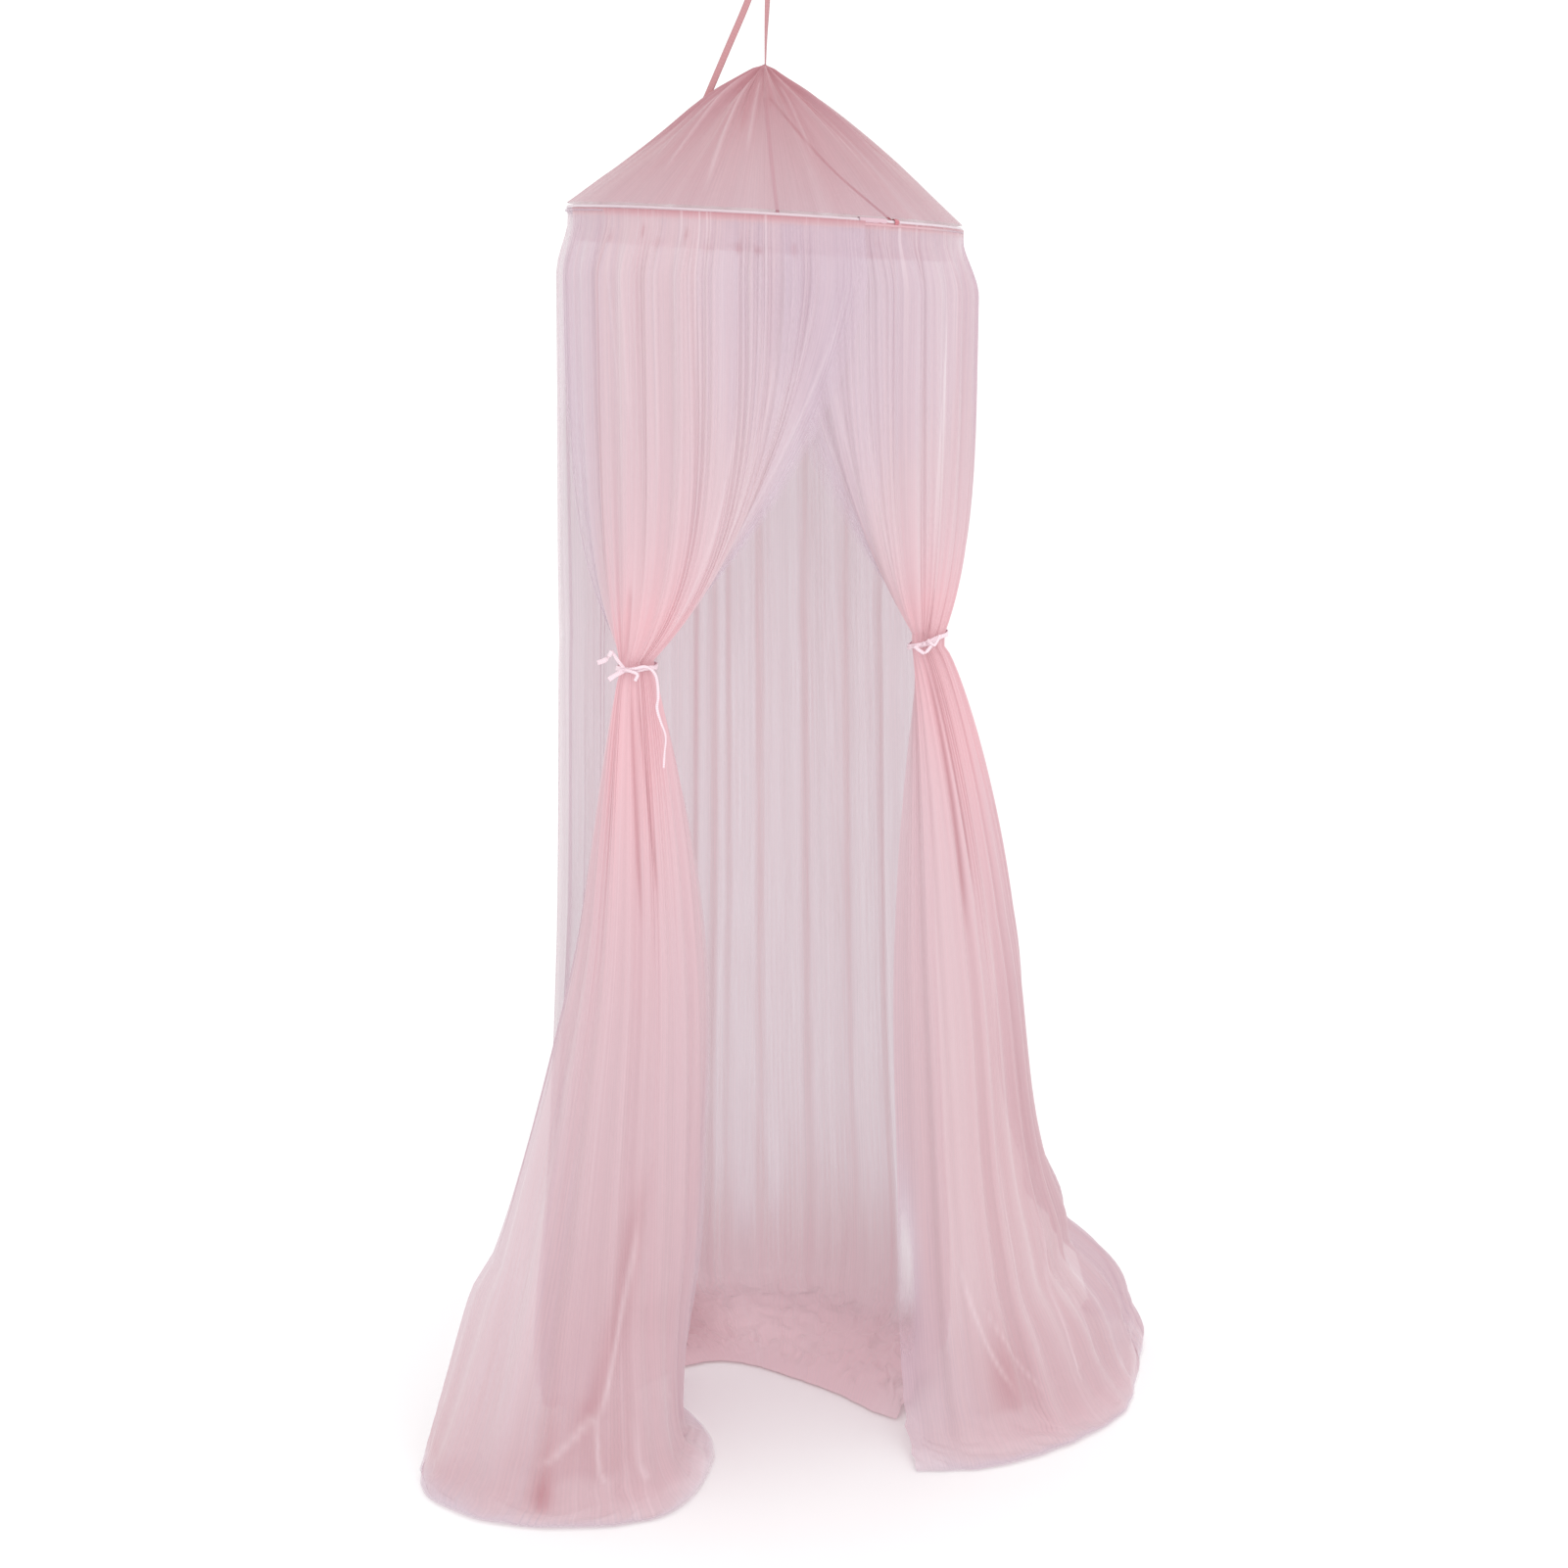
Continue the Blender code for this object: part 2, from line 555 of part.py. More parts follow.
def build_tie(name, centre, tilt, knot_turn, ends):
    """A ribbon round a bunch, its knot in front, and its free ends, whose points are measured from the knot."""
    count = 24
    ring = [tie_band_point(centre, tilt, 2 * math.pi * i / count) for i in range(count)]
    band = ribbon_shape(ring, [Vector((0, 0, 1))] * count, TIE_WIDTH * 0.75, TAPE_THICKNESS, ring=True)
    band = add_object(name, band, "satin_ribbon")
    knot = tie_band_point(centre, tilt, math.radians(knot_turn)) - Vector((0, KNOT_SIZE.y * 0.6, 0))
    lump = bmesh.new()
    bmesh.ops.create_icosphere(lump, subdivisions=2, radius=1)
    bmesh.ops.scale(lump, verts=lump.verts, vec=KNOT_SIZE)
    bmesh.ops.translate(lump, verts=lump.verts, vec=knot)
    parts = [add_object(name + "_knot", lump, "satin_ribbon")]
    for i, (points, facing) in enumerate(ends):
        centres = curve_through([knot + Vector(point) for point in points], 2 * len(points))
        across = [Vector(facing)] * len(centres)
        shape = ribbon_shape(centres, across, TIE_WIDTH, TAPE_THICKNESS)
        parts.append(add_object(f"{name}_end_{i}", shape, "satin_ribbon"))
    join(band, parts)


def build_ties():
    left_ends = (
        # Two short ends to the left, a small loop below the knot, and one long end down the right side
        (((0.0024, -0.0017, -0.0012), (-0.010, -0.010, 0.013), (-0.026, -0.012, 0.022), (-0.040, -0.010, 0.013)),
         (0.3, 0.0, 1.0)),
        (((0.0032, -0.0009, 0.0004), (-0.010, -0.012, -0.005), (-0.022, -0.013, -0.012)), (0.2, 0.0, 1.0)),
        (((-0.0018, -0.0013, 0.0011), (0.014, -0.014, -0.009), (0.026, -0.017, -0.006), (0.028, -0.013, 0.001),
          (0.018, -0.010, 0.003)), (0.1, -0.3, 1.0)),
        (((-0.0031, -0.0004, -0.0007), (0.026, -0.014, 0.007), (0.048, -0.018, 0.002), (0.062, -0.021, -0.021),
          (0.068, -0.032, -0.069), (0.071, -0.043, -0.117), (0.067, -0.049, -0.143)), (1.0, 0.3, 0.2)),
    )
    build_tie("tie_left", LEFT_BUNCH, 0.05, -42.0, left_ends)
    right_ends = (
        # Two short ends to the left and one small loop
        (((-0.001, -0.001, 0.000), (-0.011, -0.010, 0.002), (-0.022, -0.012, -0.006)), (0.2, 0.0, 1.0)),
        (((0.000, -0.001, -0.001), (-0.005, -0.013, -0.012), (-0.013, -0.017, -0.024)), (1.0, 0.2, 0.3)),
        (((0.001, -0.001, 0.000), (0.013, -0.012, -0.008), (0.019, -0.011, 0.000), (0.011, -0.008, 0.007)),
         (0.1, -0.3, 1.0)),
    )
    build_tie("tie_right", RIGHT_BUNCH, 0.22, -14.0, right_ends)


def main():
    clear_scene()
    build_panels()
    build_cone()
    build_hoop()
    build_sleeve()
    build_casing()
    build_heading()
    build_strap()
    build_tape("support_tape_front", 39.0, 0.012)
    build_tape("support_tape_back", 176.0, 0.008)
    build_ties()


main()
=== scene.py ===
"""Looks of a mosquito net canopy: gathered tulle, tapes, ribbons and a hoop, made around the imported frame.

Metres, +Z up, the origin at the top of the strap's loop. The code works in heights above the floor, as place() does.
"""

import math
from collections import namedtuple

import bmesh
import bpy
import numpy as np
from bpy.props import FloatProperty, FloatVectorProperty, IntProperty, PointerProperty
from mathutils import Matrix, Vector


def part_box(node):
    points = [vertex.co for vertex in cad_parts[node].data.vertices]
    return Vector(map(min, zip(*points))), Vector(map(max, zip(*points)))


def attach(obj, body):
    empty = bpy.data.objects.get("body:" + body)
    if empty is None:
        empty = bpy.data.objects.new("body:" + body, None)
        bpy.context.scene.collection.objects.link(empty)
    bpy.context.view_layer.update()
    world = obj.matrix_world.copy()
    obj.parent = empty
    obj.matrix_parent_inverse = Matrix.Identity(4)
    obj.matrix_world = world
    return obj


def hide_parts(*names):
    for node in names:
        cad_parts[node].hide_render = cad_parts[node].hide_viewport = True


bl_info = {
    "name": "Mosquito Net Canopy",
    "version": (1, 0, 0),
    "blender": (4, 5, 0),
    "location": "3D View > Sidebar > Canopy",
    "description": "Makes the net, ribbons and hoop of a bed canopy around its packed frame",
    "category": "Add Mesh",
}

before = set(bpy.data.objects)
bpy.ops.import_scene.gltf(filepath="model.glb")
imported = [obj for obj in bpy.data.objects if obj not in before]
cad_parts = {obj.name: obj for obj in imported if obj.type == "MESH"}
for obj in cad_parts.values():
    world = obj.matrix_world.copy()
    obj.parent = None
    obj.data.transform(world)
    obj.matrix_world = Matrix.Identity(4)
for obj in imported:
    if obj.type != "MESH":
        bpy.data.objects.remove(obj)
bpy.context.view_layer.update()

# ---------------------------------------------------------------- sizes, in metres

MM = 0.001

# Heights above the floor
HANG_HEIGHT = 2.38
APEX_HEIGHT = 2.226
HOOP_HEIGHT = 2.0
OPEN_TIE_HEIGHT = 1.345
TAIL_HEIGHT = 0.90
KNEE_HEIGHT = 0.45
FLARE_HEIGHT = 0.18
FOOT_HEIGHT = 0.012
HEM_HEIGHT = 0.004

# Hoop
HOOP_ROD = 0.003
HOOP_LOW, HOOP_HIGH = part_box("hoop")
HOOP_RADIUS = (HOOP_HIGH.y - HOOP_LOW.y) / 2 - HOOP_ROD
HOOP_ROLL = math.radians(3.2)
HOOP_STEPS = 240  # steps of the mesh round the hoop
ROD_SIDES = 16
HOOP_JOIN_ANGLE = 31.0
SLEEVE_LENGTH = 0.045
SLEEVE_RADIUS = 0.0047
CASING_TOP = -0.0028
CASING_BOTTOM = -0.0136
CASING_RADIUS = 0.2985
NET_TOP = -0.0014  # the net is drawn over the casing and the lower half of the rod
NET_TOP_OUT = 0.0035
CASING_ROLL = (-0.0034, -0.0062, -0.0068)  # where it is rolled over the top of the net
CASING_OUT = (0.0015, 0.0060, 0.0062, 0.0035, 0.0)  # how far its five rows stand out, from the top down
CASING_SEAM = (0.9, 1.0, 1.0, 0.9, 0.3)  # how much of the seam's gathers they show
# Degrees round the hoop, and how much of the seam shows there
CASING_SEEN = ((0, 44, 56, 70, 290, 318, 332, 360), (0.9, 0.9, 0.35, 0.06, 0.06, 0.10, 0.6, 0.9))
HEADING_RADIUS = 0.2905
HEADING_TOP = -0.0105
HEADING_BOTTOM = -0.048
HEADING_ROWS = 13
HEADING_GATHERS = 90
HEADING_DEPTH = 2.2 * MM
HEADING_THREADS = 3.0  # its threads are drawn as on a strip this long, so that they lie closer

# Net panels
PANEL_RADIUS = 0.300
BACK_ROWS = (32, 52, 34)  # rows of the mesh from the hoop to the ribbons' height, to the floor, and on it
TIED_ROWS = (60, 58, 24)
PANEL_SWELL = 0.021
SWELL_DROP = 0.10
LAP_RADIUS = 0.023
LAP_BOW = 0.045
LAP_FADE = (0.35, 0.9)  # shares of the width between which the lap closes up
FOLD_RATIO = 0.125
FOLD_LIMIT = 0.014
HEM_FOLD_LIMIT = 0.0006
FAN = 0.75
TAUT_HANG = 1.85
SLACK_HANG = 3.6
SLACK_REACH = (0.11, 0.30)  # distances from the ribbon between which the cloth goes from slack to taut
ROUNDING = 70  # how often the foot is smoothed
TIED_ROUNDING = 160

# Along the way down a panel, how strongly something acts: the smoothing, the crumples, the gathers and the streaks
ROUND_FADE = ((1.80, 1.92, 2.6, 3.0), (0.0, 0.5, 0.5, 0.0))
CRUMPLE_FADE = ((1.90, 2.15, 2.8, 3.0), (0.0, 1.0, 1.0, 0.0))
GATHER_FADE = ((0.0, 0.10, 1.1, 1.4, 2.0, 3.0), (0.08, 1.0, 1.0, 0.08, 0.0, 0.0))
STREAK_FADE = ((0.0, 0.25, 0.55, 1.2, 1.5, 2.0, 3.0), (1.2, 0.9, 0.55, 0.7, 0.4, 0.3, 0.6))

# Fine gathers: each is as deep as a share of its own width, within limits
COLUMNS_PER_GATHER = 12
RING_COLUMNS = 8  # the same, on the cone and the heading
GATHER_RATIO = 0.34
GATHER_LEAST = 2.4 * MM
GATHER_LIMIT = 3.6 * MM
GATHER_LEAN = 0.085
GATHER_MEAN = 0.55
# How far a gather wanders sideways, in gathers, with so many bumps across the panel and down each metre
GATHER_WANDER = ((0.9, 7, 0.9), (0.45, 31, 1.7))
CRUMPLE = 6.0 * MM

# Streaks of thicker and thinner net, and hair streaks of painted highlight
BROAD_STREAK = 32.0 * MM
FINE_STREAK = 9.0 * MM
HAIR_STREAK = 4.0 * MM
BROAD_STRENGTH = 0.09
FINE_STRENGTH = 0.10
HAIR_LIGHT = 0.30
OPEN_NET = 0.5  # width of the hanging net as a share of its flat width, below which its streaks run together

# Cone
CONE_PLEATS = 14
CONE_PLEAT = 0.0045
CONE_GATHERS = 72
CONE_GATHER_LIMIT = 3.0 * MM
CONE_ROWS = 46
CONE_FLAT_ROUND = 2.3
CONE_SLANT = 0.37
CONE_LAYERS = 1.4
CONE_RIM_RADIUS = 0.302
CONE_RIM_HEIGHT = 0.0065
CONE_NECK = 0.0015
# How far the cone stands over a straight slope, at shares of the way down, on its left and on its right
CONE_BULGE = ((0.0, 0.12, 0.30, 0.50, 0.70, 1.0), (0.0, 0.0040, 0.0095, 0.0050, 0.0025, 0.0),
              (0.0, 0.0030, 0.0110, 0.0135, 0.0115, 0.0))

# Bunches at the ribbons
BUNCH_WIDE = 0.0240
BUNCH_DEEP = 0.0175
BUNCH_OPENING = 42.0
BUNCH_NECK = 0.010
LEFT_BUNCH = Vector((-0.193, -0.200, 1.340))
RIGHT_BUNCH = Vector((0.252, -0.105, 1.366))

# Ribbons
STRAP_WIDTH = 0.010
STRAP_THICKNESS = 0.0012
TAPE_WIDTH = 0.006
TAPE_TOP = 0.048  # how far below the cone's point the tapes start
TAPE_NECK = 0.010  # and how far from its middle
TAPE_TURNS = ((0.0, -0.0012), (0.0009, 0.0014))  # two turns round the rod: how far each stands off, and lies along it
TAPE_KNOT = (0.3, 1.7)  # lean of the knot's two wraps, in radians
TIE_GAP = 0.0056
BAND_THICKNESS = 0.0012
BAND_WIDTH = 0.0052
RIBBON_THICKNESS = 0.0005
TIE_TURNS = ((0.0012, 0.0), (-0.0014, 2.1))  # the ribbon's two turns: height of each, and where it wanders
KNOT_WRAPS = ((0.0046, 0.3), (0.0040, 1.4), (0.0034, 2.4))  # the knot's wraps: size, and lean in radians

# Tulle's pattern. Its holes are 1.2 mm, finer than the picture shows, so its threads are drawn as bundles.
THREAD_BUNCH = 3.0 * MM
THREAD_RUN = 180.0 * MM
THREAD_CONTRAST = 0.12
LIGHT_COVER = 0.35
THIN_LAYERS = 1.3
SOFT_LAYERS = 2.7
DENSE_LAYERS = 9.0
TULLE = "Polyester tulle, warp knitted"

NOISE_SIDE = 256

# Camera: it stands in front of the hoop's axis, and its height is above the floor
CAMERA_SIDE = 0.0292
CAMERA_DISTANCE = 3.5
CAMERA_HEIGHT = 1.92
CAMERA_PITCH = math.radians(13.0)
CAMERA_LENS = 50.86  # mm
CAMERA_SENSOR = 36.0  # mm wide

# Studio light: an even pale sky, and one large lamp in front that gives the folds a little shape
SKY_STRENGTH = 1.12
KEY_PLACE = (0.9, -3.8, 0.5)
KEY_AIM = (0.0, 0.0, -1.2)
KEY_SIZE = 3.0
KEY_WATTS = 40

# One row for each guide line that runs down a panel: its place on the hoop, in degrees from the front towards the
# right, then where it stands in plan at each named height, and where it ends on the floor.
Guide = namedtuple("Guide", "hoop tie tail knee flare foot hem")
BACK_PANEL = (
    Guide(-68, (-0.318, -0.085), (-0.335, -0.090), (-0.360, -0.090), (-0.380, -0.090), (-0.390, -0.085),
          (-0.270, -0.030)),
    Guide(-90, (-0.326, 0.010), (-0.338, 0.010), (-0.368, 0.020), (-0.400, 0.030), (-0.420, 0.040),
          (-0.235, 0.060)),
    Guide(-115, (-0.295, 0.140), (-0.308, 0.160), (-0.345, 0.200), (-0.380, 0.225), (-0.400, 0.240),
          (-0.180, 0.125)),
    Guide(-140, (-0.210, 0.250), (-0.225, 0.290), (-0.250, 0.340), (-0.270, 0.370), (-0.285, 0.390),
          (-0.105, 0.165)),
    Guide(-165, (-0.085, 0.315), (-0.090, 0.355), (-0.100, 0.400), (-0.105, 0.420), (-0.110, 0.435),
          (-0.035, 0.155)),
    Guide(-190, (0.055, 0.320), (0.060, 0.360), (0.065, 0.410), (0.070, 0.430), (0.070, 0.440), (0.045, 0.105)),
    Guide(-215, (0.180, 0.265), (0.190, 0.310), (0.205, 0.360), (0.220, 0.385), (0.225, 0.400), (0.125, 0.045)),
    Guide(-233, (0.245, 0.190), (0.260, 0.225), (0.280, 0.270), (0.300, 0.295), (0.310, 0.305), (0.182, -0.014)),
    Guide(-247, (0.270, 0.115), (0.285, 0.140), (0.310, 0.170), (0.330, 0.190), (0.335, 0.195), (0.222, -0.042)),
)
LEFT_PANEL = (
    Guide(27, None, (-0.098, -0.100), (-0.104, 0.020), (-0.122, 0.090), (-0.150, 0.120), (-0.168, 0.100)),
    Guide(19, None, (-0.100, -0.160), (-0.112, -0.080), (-0.140, -0.010), (-0.170, 0.030), (-0.168, 0.040)),
    Guide(11, None, (-0.105, -0.205), (-0.112, -0.165), (-0.142, -0.125), (-0.165, -0.085), (-0.104, -0.074)),
    Guide(-3, None, (-0.132, -0.245), (-0.137, -0.235), (-0.158, -0.215), (-0.162, -0.197), (-0.088, -0.190)),
    Guide(-16, None, (-0.170, -0.265), (-0.185, -0.280), (-0.190, -0.280), (-0.180, -0.275), (-0.140, -0.330)),
    Guide(-30, None, (-0.215, -0.270), (-0.250, -0.295), (-0.270, -0.310), (-0.275, -0.325), (-0.265, -0.382)),
    Guide(-43, None, (-0.258, -0.250), (-0.325, -0.275), (-0.375, -0.300), (-0.405, -0.320), (-0.430, -0.367)),
    Guide(-55, None, (-0.288, -0.210), (-0.396, -0.225), (-0.470, -0.245), (-0.530, -0.260), (-0.540, -0.295)),
    Guide(-70, None, (-0.292, -0.155), (-0.415, -0.165), (-0.517, -0.165), (-0.562, -0.170), (-0.570, -0.205)),
)
RIGHT_PANEL = (
    Guide(-245.5, None, (0.374, 0.100), (0.428, 0.270), (0.538, 0.372), (0.630, 0.420), (0.588, 0.360)),
    Guide(-262, None, (0.398, 0.030), (0.450, 0.200), (0.590, 0.320), (0.692, 0.345), (0.688, 0.285)),
    Guide(-280, None, (0.393, -0.050), (0.467, 0.050), (0.578, 0.120), (0.648, 0.130), (0.656, 0.100)),
    Guide(-300, None, (0.362, -0.120), (0.425, -0.060), (0.505, -0.010), (0.572, 0.000), (0.612, -0.030)),
    Guide(-320, None, (0.322, -0.160), (0.368, -0.130), (0.420, -0.100), (0.465, -0.085), (0.500, -0.135)),
    Guide(-342, None, (0.268, -0.175), (0.300, -0.165), (0.325, -0.150), (0.345, -0.140), (0.372, -0.200)),
    Guide(-364, None, (0.205, -0.130), (0.215, -0.115), (0.222, -0.105), (0.230, -0.100), (0.247, -0.212)),
)

# Unevenness, given one by one. A place on a panel is a share of its width and a way down it: 0 at the hoop, 1 at the
# ribbon, 2 where it meets the floor and 3 at the hem.
# A patch reaches so far each way, in the same units, and adds an amount there.
# The LIGHT tables hold painted highlight and the SHADE tables painted shade; the DENSITY tables thicken or thin the
# net.
Patch = namedtuple("Patch", "share way wide tall amount")
# A crease runs from one place to another; it is so many metres wide, stands out so far, and carries so much painted
# highlight and so much painted shade.
Crease = namedtuple("Crease", "share way to_share to_way wide out light shade")

BACK_DENSITY = (
    Patch(0.00, 1.0, 0.05, 9.0, -0.50),
    Patch(0.08, 1.0, 0.12, 9.0, -0.70),
    Patch(0.13, 1.9, 0.08, 0.30, -0.30),
    Patch(1.00, 1.0, 0.10, 9.0, -0.20),
    Patch(0.50, 2.5, 1.50, 0.48, 2.2),
    Patch(0.50, 2.0, 1.50, 0.14, 0.6),
    Patch(0.425, 1.3, 0.007, 0.8, 0.60),
    Patch(0.504, 1.2, 0.006, 0.8, 0.80),
    Patch(0.535, 1.4, 0.005, 0.6, 0.60),
    Patch(0.560, 1.1, 0.006, 0.7, 0.50),
    Patch(0.612, 1.2, 0.007, 0.8, 0.60),
    Patch(0.690, 1.3, 0.008, 0.8, 0.50),
    Patch(0.765, 1.2, 0.007, 0.7, 0.60),
    Patch(0.832, 1.4, 0.007, 0.7, 0.60),
    Patch(0.590, 1.88, 0.014, 0.09, -0.55),
    Patch(0.635, 1.84, 0.008, 0.10, -0.50),
    Patch(0.872, 1.96, 0.020, 0.15, -1.60),
)
BACK_LIGHT = (
    Patch(0.08, 1.0, 0.12, 9.0, 0.85),
    Patch(1.00, 1.0, 0.10, 9.0, 0.25),
    Patch(0.62, 2.6, 0.25, 0.40, 0.30),
    Patch(0.590, 1.88, 0.012, 0.09, 0.50),
    Patch(0.635, 1.84, 0.006, 0.10, 0.45),
    Patch(0.870, 2.00, 0.018, 0.14, 0.60),
)
BACK_SHADE = (
    Patch(0.42, 2.5, 0.10, 0.35, 0.80),
    Patch(0.65, 2.5, 0.20, 0.60, -0.10),
    Patch(0.42, 1.5, 9.00, 0.60, 0.06),
)
LEFT_DENSITY = (
    Patch(0.55, 1.0, 0.35, 0.35, 0.9),
    Patch(0.45, 2.2, 0.30, 0.60, 1.1),
    Patch(0.00, 0.2, 0.40, 0.60, -0.28),
    Patch(0.95, 2.1, 0.20, 0.35, 0.90),
    Patch(0.00, 0.5, 0.06, 0.60, -0.55),
    Patch(1.00, 0.8, 0.22, 0.45, -0.55),
    Patch(1.00, 0.8, 0.10, 0.55, -0.60),
    Patch(1.00, 0.9, 0.32, 0.30, -0.45),
    Patch(0.00, 0.9, 0.24, 0.25, -0.50),
    Patch(0.50, 0.0, 9.00, 0.010, 2.0),
    Patch(1.00, 1.6, 0.16, 0.40, -0.25),
    Patch(0.62, 0.2, 0.16, 0.50, 0.35),
    Patch(0.45, 2.6, 0.50, 0.40, 0.8),
    Patch(0.40, 3.0, 0.50, 0.10, -1.6),
)
LEFT_LIGHT = (
    Patch(1.00, 0.7, 0.12, 0.50, 0.25),
    Patch(0.35, 3.0, 0.14, 0.20, 0.60),
    Patch(0.28, 2.7, 0.14, 0.30, 0.40),
)
LEFT_SHADE = (
    Patch(0.45, 2.2, 0.50, 0.50, 0.32),
    Patch(0.95, 2.1, 0.20, 0.40, 0.30),
    Patch(0.50, 1.5, 0.60, 0.40, 0.18),
    Patch(0.50, 0.0, 9.00, 0.012, 0.90),
    Patch(0.620, 0.045, 0.006, 0.012, 0.5),
    Patch(0.480, 0.050, 0.006, 0.014, 0.5),
    Patch(0.340, 0.072, 0.008, 0.009, 0.6),
    Patch(0.290, 0.078, 0.010, 0.008, 0.5),
    Patch(0.200, 0.070, 0.008, 0.009, 0.5),
    Patch(0.560, 0.070, 0.012, 0.008, 0.4),
    Patch(0.420, 0.072, 0.014, 0.007, 0.4),
    Patch(0.740, 0.060, 0.010, 0.010, 0.4),
    Patch(0.672, 2.2, 0.018, 0.25, 0.70),
    Patch(0.60, 1.98, 0.10, 0.10, 0.30),
)
LEFT_CREASES = (
    Crease(0.735, 0.02, 0.700, 0.45, 0.0018, 0.001, 0.17, 0.0),
    Crease(0.705, 0.05, 0.690, 0.60, 0.0016, 0.001, 0.12, 0.0),
    Crease(0.668, 0.02, 0.640, 0.50, 0.0022, 0.001, 0.15, 0.0),
    Crease(0.632, 0.10, 0.620, 0.62, 0.0016, 0.001, 0.11, 0.0),
    Crease(0.585, 0.02, 0.590, 0.40, 0.0018, 0.001, 0.14, 0.0),
    Crease(0.556, 0.02, 0.545, 0.62, 0.0022, 0.001, 0.15, 0.0),
    Crease(0.515, 0.02, 0.485, 0.35, 0.0016, 0.001, 0.12, 0.0),
    Crease(0.448, 0.02, 0.430, 0.50, 0.0020, 0.001, 0.11, 0.0),
    Crease(0.050, 0.10, 0.140, 0.95, 0.0030, 0.001, 0.22, 0.0),
    Crease(0.130, 0.10, 0.220, 0.95, 0.0035, 0.001, 0.22, 0.0),
    Crease(0.220, 0.15, 0.300, 0.98, 0.0030, 0.001, 0.19, 0.0),
    Crease(0.330, 0.35, 0.380, 0.98, 0.0030, 0.001, 0.19, 0.0),
    Crease(0.560, 0.98, 0.500, 1.30, 0.0030, -0.002, 0.0, 0.45),
    Crease(0.500, 0.98, 0.400, 1.28, 0.0030, -0.002, 0.0, 0.30),
    Crease(0.640, 0.80, 0.640, 1.02, 0.0030, -0.002, 0.0, 0.35),
    Crease(0.470, 1.62, 0.590, 1.945, 0.0050, 0.003, 0.32, 0.0),
    Crease(0.575, 1.90, 0.690, 2.00, 0.0110, 0.003, 0.30, 0.0),
    Crease(0.440, 1.55, 0.640, 1.995, 0.0180, -0.002, 0.0, 0.30),
    Crease(0.590, 1.89, 0.560, 2.15, 0.0050, 0.002, 0.28, 0.0),
    Crease(0.500, 1.90, 0.480, 2.20, 0.0060, 0.002, 0.18, 0.0),
    Crease(0.820, 1.60, 0.760, 1.99, 0.0060, 0.002, 0.15, 0.0),
    Crease(0.970, 1.73, 0.970, 1.88, 0.1000, 0.013, 0.0, 0.0),
)
RIGHT_DENSITY = (
    Patch(0.45, 1.0, 0.35, 0.35, 0.9),
    Patch(0.60, 2.2, 0.35, 0.60, 1.1),
    Patch(1.00, 0.2, 0.40, 0.60, -0.28),
    Patch(0.50, 1.6, 0.50, 0.30, 0.25),
    Patch(0.02, 2.1, 0.20, 0.30, 0.30),
    Patch(1.00, 0.5, 0.07, 0.60, -0.55),
    Patch(1.00, 0.9, 0.28, 0.28, -0.50),
    Patch(0.00, 0.4, 0.10, 0.60, -0.15),
    Patch(0.50, 0.0, 9.00, 0.010, 2.0),
    Patch(0.00, 1.8, 0.14, 0.40, -0.30),
    Patch(0.45, 0.2, 0.16, 0.50, 0.25),
    Patch(0.55, 2.6, 0.50, 0.40, 0.8),
    Patch(0.40, 3.0, 0.50, 0.10, -1.6),
    Patch(0.980, 1.80, 0.035, 0.12, -1.6),
)
RIGHT_LIGHT = (
    Patch(0.00, 0.3, 0.30, 0.60, 0.15),
    Patch(0.00, 2.0, 0.10, 0.40, 0.20),
    Patch(0.98, 2.9, 0.08, 0.30, 0.60),
)
RIGHT_SHADE = (
    Patch(0.50, 2.1, 0.50, 0.50, 0.30),
    Patch(0.50, 1.55, 0.60, 0.40, 0.30),
    Patch(0.50, 0.95, 0.60, 0.12, 0.12),
    Patch(0.50, 0.0, 9.00, 0.012, 0.90),
    Patch(0.70, 1.95, 0.06, 0.08, 0.45),
)
RIGHT_CREASES = (
    Crease(0.600, 0.02, 0.570, 0.60, 0.0020, 0.001, 0.14, 0.0),
    Crease(0.540, 0.05, 0.530, 0.40, 0.0016, 0.001, 0.11, 0.0),
    Crease(0.480, 0.02, 0.470, 0.60, 0.0020, 0.001, 0.12, 0.0),
    Crease(0.930, 0.30, 0.860, 0.95, 0.0030, 0.001, 0.22, 0.0),
    Crease(0.840, 0.30, 0.780, 0.95, 0.0030, 0.001, 0.19, 0.0),
    Crease(0.740, 0.40, 0.700, 0.97, 0.0030, 0.001, 0.17, 0.0),
    Crease(0.620, 0.98, 0.640, 1.35, 0.0030, -0.002, 0.0, 0.50),
    Crease(0.580, 0.98, 0.560, 1.30, 0.0030, -0.002, 0.0, 0.35),
    Crease(0.500, 0.85, 0.500, 1.02, 0.0030, -0.002, 0.0, 0.40),
    Crease(0.820, 1.72, 0.680, 1.99, 0.0045, 0.003, 0.35, 0.0),
    Crease(0.740, 1.80, 0.600, 2.00, 0.0035, 0.003, 0.28, 0.0),
    Crease(0.430, 1.70, 0.500, 2.05, 0.0035, 0.003, 0.30, 0.0),
    Crease(0.360, 1.75, 0.420, 2.05, 0.0030, 0.002, 0.22, 0.0),
    Crease(0.560, 1.60, 0.580, 2.00, 0.0030, 0.002, 0.20, 0.0),
)

# How far the side of a tail stands out to the right, in metres
RIGHT_SWING = (
    Patch(0.12, 1.826, 0.32, 0.045, -0.029),
    Patch(0.12, 1.935, 0.32, 0.050, 0.014),
)

